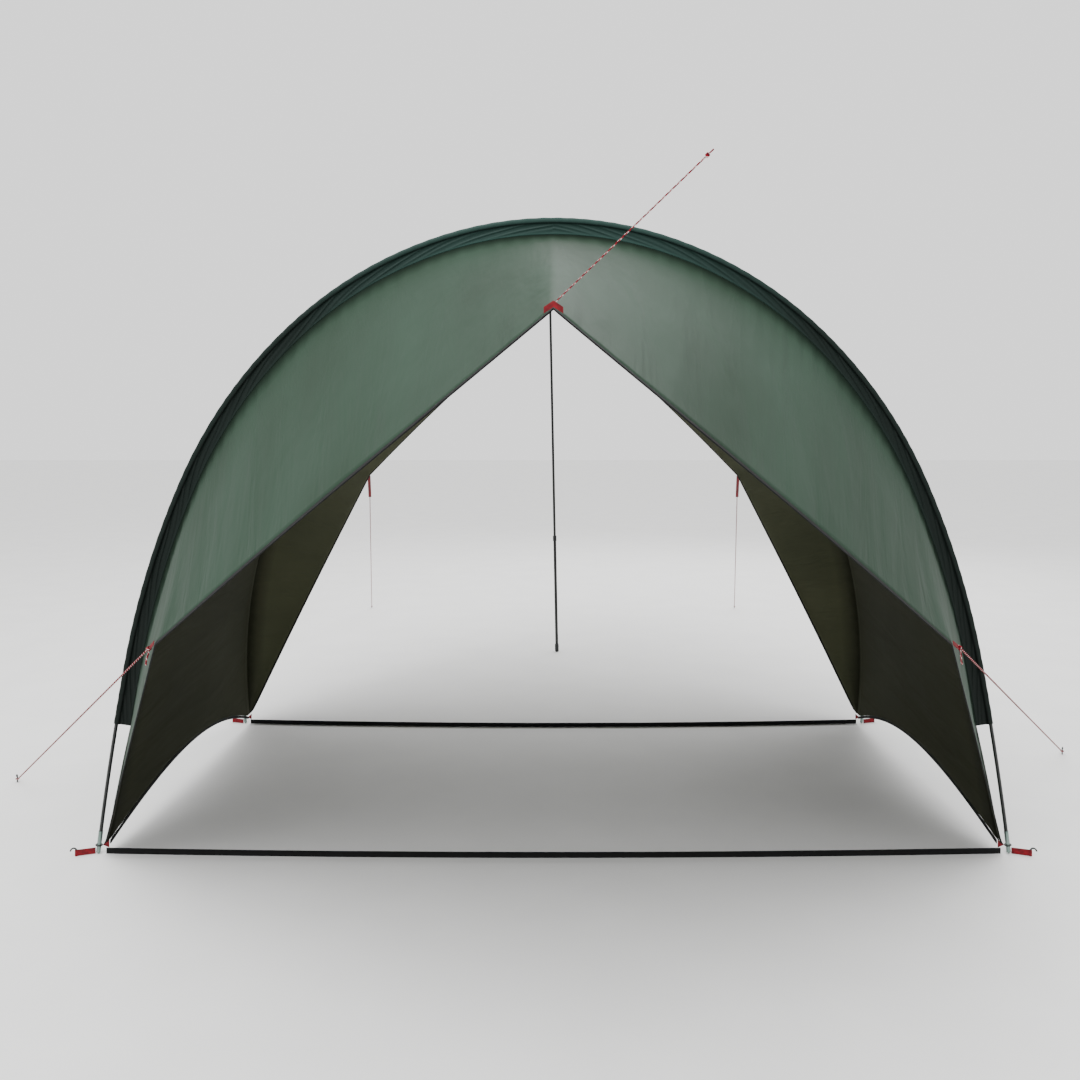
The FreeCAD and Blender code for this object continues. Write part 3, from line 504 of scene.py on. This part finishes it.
def awning_cloth(name, arch, cut, outer, inner, across=64, count=420):
    rows, places = [], []
    for s in station_list(arch, cut, count):
        root, hem = ruling(arch, cut, s)
        before = ruling(arch, cut, max(s - 0.02, START))
        after = ruling(arch, cut, min(s + 0.02, 2 * arch["half"] - START))
        along = after[0] + after[1] - before[0] - before[1]
        normal = along.cross(hem - root).normalized()
        inwards = Vector((math.sin(heading_at(arch, s)), 0, -math.cos(heading_at(arch, s))))
        row, place = [], []
        for step in range(across + 1):
            t = (step / across) ** 1.35
            reach = (hem - root).length * t
            curl = 0.006 * (1 - math.exp(-reach / 0.02)) * (1 - t)
            row.append(root.lerp(hem, t) + inwards * curl + normal * ripple(arch, cut, s, t))
            place.append((s, reach))
        rows.append(row)
        places.append(place)
    # The rows run the other way on the front, so that both awnings' first material faces outwards.
    order = arch["away"]
    return thicken(grid_mesh(name, rows[::order], places[::order], [outer, inner]))


front_awning = awning_cloth("front_awning_cloth", FRONT, FRONT_CUT, outer_taffeta, inner_taffeta)
rear_awning = awning_cloth("rear_awning_cloth", REAR, REAR_CUT, outer_taffeta, lit_inside_taffeta)
for piece, node in ((front_awning, "front_awning"), (rear_awning, "rear_awning")):
    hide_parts(node)
    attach(piece, "tent")
    print(piece.name, "flat area", round(area_of(piece), 3), "square metres")

# %% [markdown]
# ## Roof
# Between the arches the cloth is one strip over the top and down both sides to the ground, cut in a shallow
# scallop along each lower edge so it stays taut. It sags a touch between the poles.

# %% Roof cloth
def side_height(y):
    """The height of the scalloped lower edge between the arches."""
    depth, rise, low = REAR_Y - FRONT_Y, 0.130, 0.034
    radius = ((depth / 2) ** 2 + rise ** 2) / (2 * rise)
    return low + rise - radius + math.sqrt(radius ** 2 - (y - (FRONT_Y + REAR_Y) / 2) ** 2)


def roof_cloth(count=300, across=44):
    rows, places = [], []
    last = 2 * FRONT["half"] - START
    for i in range(count + 1):
        s = START + (last - START) * i / count
        front, rear = seam(FRONT, s, SEAM_SIDE), seam(REAR, s, -SEAM_SIDE)
        heading = (heading_at(FRONT, s) + heading_at(REAR, s)) / 2
        inwards = Vector((math.sin(heading), 0, -math.cos(heading)))
        row, place = [], []
        for step in range(across + 1):
            t = step / across
            point = front.lerp(rear, t)
            edge = math.sin(math.pi * t)
            wave = 0.004 * noise.noise(Vector((s * 3, t * 4, 7)))
            wave += 0.0015 * math.sin(s * 60) * abs(1 - 2 * t) ** 4
            point += inwards * (0.001 + (0.004 + wave) * edge)
            if side_height(point.y) > point.z:
                point.z = side_height(point.y)
            row.append(point)
            place.append((s, t * (REAR_Y - FRONT_Y)))
        rows.append(row)
        places.append(place)
    return thicken(grid_mesh("roof_cloth", rows, places, [outer_taffeta, inner_taffeta]))


roof = roof_cloth()
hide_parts("canopy_roof")
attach(roof, "tent")
print("roof area", round(area_of(roof), 3), "square metres")

# %% [markdown]
# ## Pole sleeves
# A sleeve is a pocket round the pole and a flat web down to the seam. The web is cut on the straight but
# follows a bend, so it puckers in long folds that run nearly along the pole, mirrored about the top.

# %% Sleeve cloth
POCKET = 0.0085             # radius of the pocket round the pole
WEB_SIDE = 0.001            # half the thickness of the two layers of web
WEB_STEPS, POCKET_STEPS = 16, 14


def sleeve_loop(web):
    """One turn round the sleeve: down one side of the web, round the pocket and back."""
    loop = [("web", -1, web - (web - POCKET) * i / WEB_STEPS) for i in range(WEB_STEPS + 1)]
    loop += [("pocket", math.pi * (i + 0.5) / POCKET_STEPS - math.pi / 2, 0) for i in range(POCKET_STEPS)]
    loop += [("web", 1, POCKET + (web - POCKET) * i / WEB_STEPS) for i in range(WEB_STEPS + 1)]
    return loop


def sleeve(name, arch, count, pucker):
    web = arch["web"]
    rows, places = [], []
    first, last = SLEEVE_START, 2 * arch["half"] - SLEEVE_START
    for i in range(count + 1):
        s = first + (last - first) * i / count
        way = 1 if s < arch["half"] else -1
        wander = 4 * noise.noise(Vector((s * 4, arch["y"], 0)))
        row, place = [], []
        for kind, turn, inset in sleeve_loop(web):
            if kind == "pocket":
                puff = 0.0004 * math.sin(s * 120 + wander)
                inset, y = -(POCKET + puff) * math.cos(turn), (POCKET + puff) * math.sin(turn)
            else:
                depth = (inset - POCKET) / (web - POCKET)
                slant = s * 60 + way * inset * 420 + 1.5 * wander
                fold = math.sin(slant) + 0.5 * math.sin(slant * 1.7)
                fold *= math.sin(math.pi * min(1, depth * 1.05))
                y = turn * WEB_SIDE + pucker * max(0, fold) * arch["away"]
                y += turn * (POCKET - WEB_SIDE) * math.exp(-depth * 7)
            row.append(on_arch(arch, s, inset, y))
            place.append((s, inset))
        rows.append(row)
        places.append(place)
    return grid_mesh(name, rows, places, [sleeve_cloth], ring=True)


for name, arch, pucker in (("front", FRONT, 0.0020), ("rear", REAR, 0.0010)):
    piece = sleeve(f"{name}_sleeve_cloth", arch, 1300, pucker)
    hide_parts(f"{name}_pole_sleeve")
    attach(piece, "tent")
print("sleeves made")

# %% [markdown]
# ## Straps and hems
# A strap is a flat band swept along a line, with its width pointing a chosen way. The hems use the same
# tool: a folded binding that carries on past the edge of the cloth.

# %% Band tool
def band(name, centres, widths, thickness, material):
    """A flat closed band: widths are vectors from one edge to the other at each centre."""
    rows, places, run = [], [], 0.0
    for i, (centre, width) in enumerate(zip(centres, widths)):
        ahead = centres[min(i + 1, len(centres) - 1)] - centres[max(i - 1, 0)]
        face = ahead.cross(width).normalized() * (thickness / 2)
        if i:
            run += (centre - centres[i - 1]).length
        rows.append([centre - width / 2 + face, centre + width / 2 + face,
                     centre + width / 2 - face, centre - width / 2 - face])
        places.append([(run, 0), (run, width.length), (run, 0), (run, width.length)])
    piece = grid_mesh(name, rows, places, [material], ring=True)
    cap(piece, [list(range(4)), [len(piece.data.vertices) - 4 + k for k in (3, 2, 1, 0)]])
    piece.data.polygons.foreach_set("use_smooth", [False] * len(piece.data.polygons))
    return piece


def cap(piece, loops):
    """Closes open ends with flat faces."""
    work = bmesh.new()
    work.from_mesh(piece.data)
    work.verts.ensure_lookup_table()
    for loop in loops:
        work.faces.new([work.verts[i] for i in loop])
    bmesh.ops.recalc_face_normals(work, faces=work.faces)
    work.to_mesh(piece.data)
    work.free()


HEM_OUT = 0.0062            # from the cloth's edge to the middle of the binding
SIDE_HEM_INSET = 0.018      # from each arch to the end of a side hem


def hem_band(name, arch, cut, count=360):
    centres, widths = [], []
    for s in station_list(arch, cut, count):
        root, hem = ruling(arch, cut, s)
        out = (hem - root).normalized()
        centres.append(hem + out * HEM_OUT)
        widths.append(out * HEM_WIDTH)
    return band(name, centres, widths, HEM_THICK, black_webbing)


def side_hem(name, side, count=60):
    centres, widths = [], []
    for i in range(count + 1):
        y = FRONT_Y + SIDE_HEM_INSET + (REAR_Y - FRONT_Y - 2 * SIDE_HEM_INSET) * i / count
        share = (y - FRONT_Y) / (REAR_Y - FRONT_Y)
        height = side_height(y) - 0.001
        wall = seam(FRONT, height).lerp(seam(REAR, height), share)
        centres.append(Vector((side * (-wall.x - 0.001), y, height - 0.006)))
        widths.append(Vector((0, 0, HEM_WIDTH)))
    return band(name, centres, widths, HEM_THICK, black_webbing)


front_hem = hem_band("front_hem", FRONT, FRONT_CUT)
hems = [front_hem, hem_band("rear_hem", REAR, REAR_CUT), side_hem("left_hem", -1),
        side_hem("right_hem", 1)]
for piece in hems:
    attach(piece, "tent")
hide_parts("hem_binding")
# The cut areas are the drawn solids' volumes over their 2 mm thickness.
for piece, hem, flat, cut_area, sleeve_node in (
        (front_awning, hems[0], (5.71, 1.574), 4.451, "front_pole_sleeve"),
        (rear_awning, hems[1], (5.71, 1.641), 4.446, "rear_pole_sleeve")):
    print(piece.name, "mesh area over cut area", round(area_of(piece) / cut_area, 3))
print("roof mesh area over cut area", round(area_of(roof) / 8.315, 3))

# %% [markdown]
# ## Ground straps
# A strap of black webbing joins the two feet of each arch and stops them spreading. It stands on edge on
# the ground in a shallow bow, and being soft it wavers a little.

# %% Ground straps
def ground_strap(arch, bow):
    half = arch["span"] - 0.026
    radius = (half ** 2 + bow ** 2) / (2 * bow)
    centres, widths = [], []
    for i in range(161):
        x = -half + 2 * half * i / 160
        y = arch["y"] + 0.001 - bow + radius - math.sqrt(radius ** 2 - x ** 2)
        sway = noise.noise(Vector((x * 3, arch["y"], 0)))
        centres.append(Vector((x, y + 0.0006 * sway, 0.0100)))
        widths.append(Vector((0, 0.0020 * sway, 0.0196)))
    end_name = "front" if arch is FRONT else "rear"
    return band(f"{end_name}_ground_strap_webbing", centres, widths, WEBBING, black_webbing)


for arch, bow, node in ((FRONT, 0.035, "front_ground_strap"), (REAR, 0.060, "rear_ground_strap")):
    piece = ground_strap(arch, bow)
    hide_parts(node)
    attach(piece, "tent")
print("ground straps made")

# %% [markdown]
# ## Foot fittings
# Red webbing does the pulling at each foot: a folded tab from the canopy's corner to a ring round the pole
# end, and a loop round the ground peg, which is one length of webbing that goes out, round and back.

# %% Tabs and loops
def foot_spot(arch, side, height, out=0.0):
    lean = math.radians(90 - arch["chain"][0][2])
    x = arch["span"] - math.tan(lean) * (height - PIN) + out
    return Vector((side * x, arch["y"], height))


def foot_tab(arch, side):
    """From a narrow fold at the ring to the full width of the webbing at the canopy's corner."""
    ring_height, low_end, high_end = 0.030, 0.0212, 0.0468
    centres, widths = [], []
    for i in range(13):
        t = i / 12
        reach = 0.0130 + 0.020 * t
        low = ring_height + (low_end - ring_height) * t
        high = ring_height + (high_end - ring_height) * t + 0.0008
        centres.append(foot_spot(arch, side, (low + high) / 2, -reach))
        widths.append(Vector((0, 0, max(0.0012, high - low))))
    return band("tab", centres, widths, 0.0018, red_webbing)


def peg_loop(arch, side):
    ahead = -1 if arch is FRONT else 1
    start = Vector((side * (arch["span"] + 0.010), arch["y"], 0.011))
    peg = start + Vector((side * 0.055, ahead * 0.020, 0))
    along = (peg - start).normalized()
    across = Vector((0, 0, 1)).cross(along)
    route = [start.lerp(peg, i / 10) + across * (0.0012 + 0.0008 * i / 10) for i in range(10)]
    route += [peg + (across * math.cos(a) + along * math.sin(a)) * 0.0042
              for a in [math.pi * i / 16 for i in range(17)]]
    route += [peg.lerp(start, i / 10) - across * (0.0020 - 0.0008 * i / 10) for i in range(1, 11)]
    return band("loop", route, [Vector((0, 0, 0.0190))] * len(route), 0.0014, red_webbing)


corners = [(arch, side) for arch in (FRONT, REAR) for side in (-1, 1)]
foot_tabs = join("foot_tab_webbing", [foot_tab(arch, side) for arch, side in corners])
peg_loops = join("peg_loop_webbing", [peg_loop(arch, side) for arch, side in corners])
for piece, node in ((foot_tabs, "foot_tabs"), (peg_loops, "peg_loops")):
    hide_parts(node)
    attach(piece, "tent")
print("foot fittings made")

# %% [markdown]
# ## Guy ropes
# Every guy rope is pulled straight by its peg, so each is one straight run. The curve's points are the real
# route: both ends, and one point about six diameters in, where the rope leaves its knot or peg. The braid is
# a tube swept along the curve, because the pattern has to wind round it.

# %% Ropes
ROUTES = {
    "front_left_guy_rope": [(-1.106, -1.469, 0.820), (-2.172, -0.141, 0.014)],
    "front_right_guy_rope": [(1.109, -1.470, 0.823), (2.244, 0.218, 0.014)],
    "rear_left_guy_rope": [(-1.095, 1.770, 1.046), (-1.494, 4.027, 0.014)],
    "rear_right_guy_rope": [(1.095, 1.770, 1.046), (1.487, 4.027, 0.014)],
    "front_peak_guy_rope": [(0.004, -2.367, 1.645), (0.236, -2.643, 1.832)],
}
THICK = {node: PEAK_ROPE if "peak" in node else ROPE for node in ROUTES}


def rope_curve(start, end, diameter):
    """The rope's centre line, as points read from a smooth curve."""
    start, end = Vector(start), Vector(end)
    lead = (end - start).normalized() * (6 * diameter)
    points = [start, start + lead, end - lead, end]
    curve = bpy.data.curves.new("rope_line", "CURVE")
    curve.dimensions = "3D"
    spline = curve.splines.new("NURBS")
    spline.points.add(len(points) - 1)
    for knot, point in zip(spline.points, points):
        knot.co = (*point, 1)
    spline.order_u = 3
    spline.use_endpoint_u = True
    spline.resolution_u = 40
    holder = bpy.data.objects.new("rope_line", curve)
    bpy.context.scene.collection.objects.link(holder)
    line = bpy.data.meshes.new_from_object(holder)
    found = [vertex.co.copy() for vertex in line.vertices]
    bpy.data.objects.remove(holder)
    bpy.data.meshes.remove(line)
    return found


def tube(name, line, radius, material, sides=12, closed=False):
    """A round tube along a line, with the braid's places in metres."""
    rows, places, run = [], [], 0.0
    count = len(line)
    for i, point in enumerate(line):
        before = line[i - 1] if closed or i else line[0]
        ahead = line[(i + 1) % count] if closed else line[min(i + 1, count - 1)]
        along = (ahead - before).normalized()
        if i == 0:
            side = along.orthogonal().normalized()
        side = (side - along * side.dot(along)).normalized()
        lift = along.cross(side)
        if i:
            run += (point - line[i - 1]).length
        rows.append([point + (side * math.cos(a) + lift * math.sin(a)) * radius
                     for a in [2 * math.pi * k / sides for k in range(sides)]])
        places.append([(run, 2 * math.pi * radius * k / sides) for k in range(sides)])
    if closed:
        rows.append(rows[0])
        places.append([(run, place[1]) for place in places[0]])
    piece = grid_mesh(name, rows, places, [material], ring=True)
    if not closed:
        total = len(piece.data.vertices)
        cap(piece, [list(range(sides)), [total - sides + k for k in range(sides)][::-1]])
        piece.data.polygons.foreach_set("use_smooth", [True] * len(piece.data.polygons))
    return piece


ropes = {}
for node, (start, end) in ROUTES.items():
    line = rope_curve(start, end, THICK[node])
    piece = tube(f"{node}_braid", line, THICK[node] / 2, rope_braid)
    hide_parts(node)
    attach(piece, "tent")
    ropes[node] = (piece, line)
print(len(ropes), "ropes")

# %% [markdown]
# ## Knots
# Each front rope is tied to its corner with a few tight turns and a hanging tail. At each ground peg the rope
# ends in a small bight round the wire. The peak rope ends in a stopper knot.

# %% Knots and bights
def wraps(middle, along, radius, length, turns, thick):
    """A rope wound tightly round itself."""
    side = along.orthogonal().normalized()
    lift = along.cross(side)
    steps = int(16 * turns)
    line = [middle + along * (length * (i / steps - 0.5))
            + (side * math.cos(2 * math.pi * i / 16) + lift * math.sin(2 * math.pi * i / 16)) * radius
            for i in range(steps + 1)]
    return tube("turns", line, thick / 2, rope_braid, sides=10)


def front_knot(name, side):
    """Wraps where the rope meets its corner tab, and a tail that hangs straight down."""
    node = "front_left_guy_rope" if side < 0 else "front_right_guy_rope"
    rope_start = Vector(ROUTES[node][0])
    corner = FRONT_CUT["corner"] if side < 0 else mirror_x(FRONT_CUT["corner"])
    toward = (rope_start - corner).normalized()
    middle = rope_start - toward * 0.007
    bundle = wraps(middle, toward, 0.0042, 0.012, 3.2, 0.0046)
    drop = Vector((side * 0.008, 0, -0.045))
    hang = [middle + drop * (i / 14) + Vector((0.0012 * math.sin(i * 0.45), 0.0009 * math.sin(i * 0.6), 0))
            for i in range(15)]
    return join(name, [bundle, tube("tail", hang, 0.0024, rope_braid, sides=10)])


def ring_line(centre, first, second, radius, count=48):
    return [centre + (first * math.cos(a) + second * math.sin(a)) * radius
            for a in [2 * math.pi * i / count for i in range(count)]]


X, Y, Z = Vector((1, 0, 0)), Vector((0, 1, 0)), Vector((0, 0, 1))
knots = {
    "front_left_guy_rope": front_knot("front_left_knot", -1),
    "front_right_guy_rope": front_knot("front_right_knot", 1),
}
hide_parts("front_rope_knots")
bights = {}
for node in ROUTES:
    if "peak" not in node:
        start, end = (Vector(point) for point in ROUTES[node])
        level = Vector((end.x - start.x, end.y - start.y, 0)).normalized()
        shank = Vector((end.x, end.y, end.z)) + level * 0.0055
        bights[node] = tube(f"{node}_bight", ring_line(shank, level, Z.cross(level), 0.0052), 0.0024,
                            rope_braid, closed=True)
start, end = (Vector(point) for point in ROUTES["front_peak_guy_rope"])
along = (end - start).normalized()
middle = end + along * 0.0045
stopper = join("front_peak_stopper_knot", [
    wraps(middle, along, 0.0024, 0.006, 3.2, 0.0024),
    tube("tail", [middle + along * (0.014 * i / 6) for i in range(7)], 0.0012, rope_braid, sides=10)])
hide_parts("front_peak_rope_knot")
for piece in [*knots.values(), *bights.values(), stopper]:
    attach(piece, "tent")
for node, (piece, line) in ropes.items():
    start, end = (Vector(point) for point in ROUTES[node])
print("knots tied")

# %% [markdown]
# ## Corner and peak webbing
# Short red tabs hold the front knots, longer straps run out from the rear corners, and at each peak a folded
# tab takes the load of the rope or the pole's spike.

# %% Corner webbing
CORNER_OUTWARD = Vector((-0.902, -0.388, 0.191))   # away from the front left corner's cloth


def strap_run(name, start, end, width_direction, width):
    centres = [start.lerp(end, i / 12) for i in range(13)]
    along = (end - start).normalized()
    across = width_direction - along * width_direction.dot(along)
    return band(name, centres, [across.normalized() * width] * 13, WEBBING, red_webbing)


def front_corner_tab(side):
    outward = CORNER_OUTWARD.normalized()
    corner = FRONT_CUT["corner"].copy()
    target = Vector(ROUTES["front_left_guy_rope" if side < 0 else "front_right_guy_rope"][0])
    if side > 0:
        corner, outward = mirror_x(corner), mirror_x(outward)
    toward = (target - corner).normalized()
    start = corner + outward * 0.004 + toward * 0.001
    end = target - toward * 0.015
    return strap_run("corner_tab", start, end, outward.cross(end - start), 0.013)


def rear_corner_strap(side):
    corner = REAR_CUT["corner"].copy() if side < 0 else mirror_x(REAR_CUT["corner"])
    target = Vector(ROUTES["rear_left_guy_rope" if side < 0 else "rear_right_guy_rope"][0])
    toward = (target - corner).normalized()
    return strap_run("rear_strap", corner + toward * 0.014, target - toward * 0.001, Z.cross(toward),
                     0.017)


front_tabs = join("front_corner_tab_webbing", [front_corner_tab(side) for side in (-1, 1)])
rear_straps = join("rear_corner_strap_webbing", [rear_corner_strap(side) for side in (-1, 1)])


POLE_LEAN = 1.12            # degrees
PATCH_HALF_LONG, PATCH_HALF_WIDE, PATCH_HALF_THICK = 0.0198, 0.0138, 0.0014
EYELET = 0.0046             # radius of the eyelet in the rear patch


def front_peak_tab():
    """Two legs that meet in a ridge, like a small roof over the hem's peak."""
    low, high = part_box("front_peak_tab")
    half, tall, y = (high.x - low.x) / 2, high.z - low.z, (low.y + high.y) / 2
    leg = tall / 2
    centres = [Vector((half * (2 * i / 12 - 1), y, high.z - leg / 2 - (tall - leg) * abs(2 * i / 12 - 1)))
               for i in range(13)]
    widths = [Vector((0, 0, leg * 0.98))] * 13
    return band("front_peak_tab_webbing", centres, widths, high.y - low.y, red_webbing)


def rear_peak_patch():
    """A stiff patch with an eyelet that the spike goes through."""
    low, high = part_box("rear_peak_tab")
    spike_low, spike_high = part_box("pole_spike")
    lean = math.radians(POLE_LEAN)
    centre = Vector(((low.x + high.x) / 2, 0, (low.z + high.z) / 2))
    hole = Vector((centre.x, (spike_low.y + spike_high.y) / 2, centre.z))
    across = Vector((math.cos(lean), 0, math.sin(lean)))
    up = Vector((-math.sin(lean), 0, math.cos(lean))) * PATCH_HALF_THICK
    rows, places = [], []
    for step in range(49):
        a = 2 * math.pi * step / 48
        c, s = math.cos(a), math.sin(a)
        reach = min(PATCH_HALF_LONG / max(abs(c), 1e-6), PATCH_HALF_WIDE / max(abs(s), 1e-6))
        spoke = across * c + Y * s
        inner, outer = hole + spoke * EYELET, hole + spoke * reach
        rows.append([inner - up, outer - up, outer + up, inner + up])
        places.append([(step * 0.002, v) for v in (0, 0.015, 0.018, 0.033)])
    piece = grid_mesh("rear_peak_patch_webbing", rows, places, [red_webbing], ring=True)
    piece.data.polygons.foreach_set("use_smooth", [False] * len(piece.data.polygons))
    return piece


for piece, node in ((front_tabs, "front_corner_tabs"), (rear_straps, "rear_corner_straps"),
                    (front_peak_tab(), "front_peak_tab"), (rear_peak_patch(), "rear_peak_tab")):
    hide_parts(node)
    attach(piece, "tent")
print("webbing sewn")

# %% [markdown]
# ## Studio
# A plain pale floor and broad soft lights. One large light overhead and in front does most of the work; a
# weaker one behind keeps the inside readable.

# %% Floor and lights
def floor():
    material = new_material("matt_studio_floor")
    speckle_place = add(material, "ShaderNodeTexCoord")
    speckle = add(material, "ShaderNodeTexNoise", {"Vector": (speckle_place, "Object"), "Scale": 3.0})
    colour = ramp(material, (speckle, "Fac"), [(0.3, "F2F2F1"), (0.7, "F6F6F5")])
    paintwork = add(material, "ShaderNodeBsdfPrincipled", {"Base Color": (colour, "Color"),
                                                           "Roughness": 0.9})
    finish_material(material, paintwork)
    reach = 60
    square = [(-reach, -reach, 0), (reach, -reach, 0), (reach, reach, 0), (-reach, reach, 0)]
    mesh = bpy.data.meshes.new("studio_floor")
    mesh.from_pydata(square, [], [(0, 1, 2, 3)])
    mesh.materials.append(material)
    piece = bpy.data.objects.new("studio_floor", mesh)
    bpy.context.scene.collection.objects.link(piece)


def soft_light(name, place, aim, size, watts):
    light = bpy.data.lights.new(name, "AREA")
    light.size = size
    light.energy = watts
    lamp = bpy.data.objects.new(name, light)
    lamp.location = place
    lamp.rotation_mode = "QUATERNION"
    lamp.rotation_quaternion = (Vector(aim) - Vector(place)).to_track_quat("-Z", "Y")
    bpy.context.scene.collection.objects.link(lamp)


floor()
soft_light("overhead_softbox", (-1.5, -4.5, 7.0), (0, 0, 1.0), 6.0, 620)
soft_light("rear_softbox", (2.0, 6.5, 5.5), (0, 1.0, 1.0), 5.0, 260)
world = bpy.data.worlds.new("pale_studio")
world.use_nodes = True
world.node_tree.nodes["Background"].inputs["Color"].default_value = paint("FBFBFB")
world.node_tree.nodes["Background"].inputs["Strength"].default_value = 1.5
bpy.context.scene.world = world
print("studio lit")
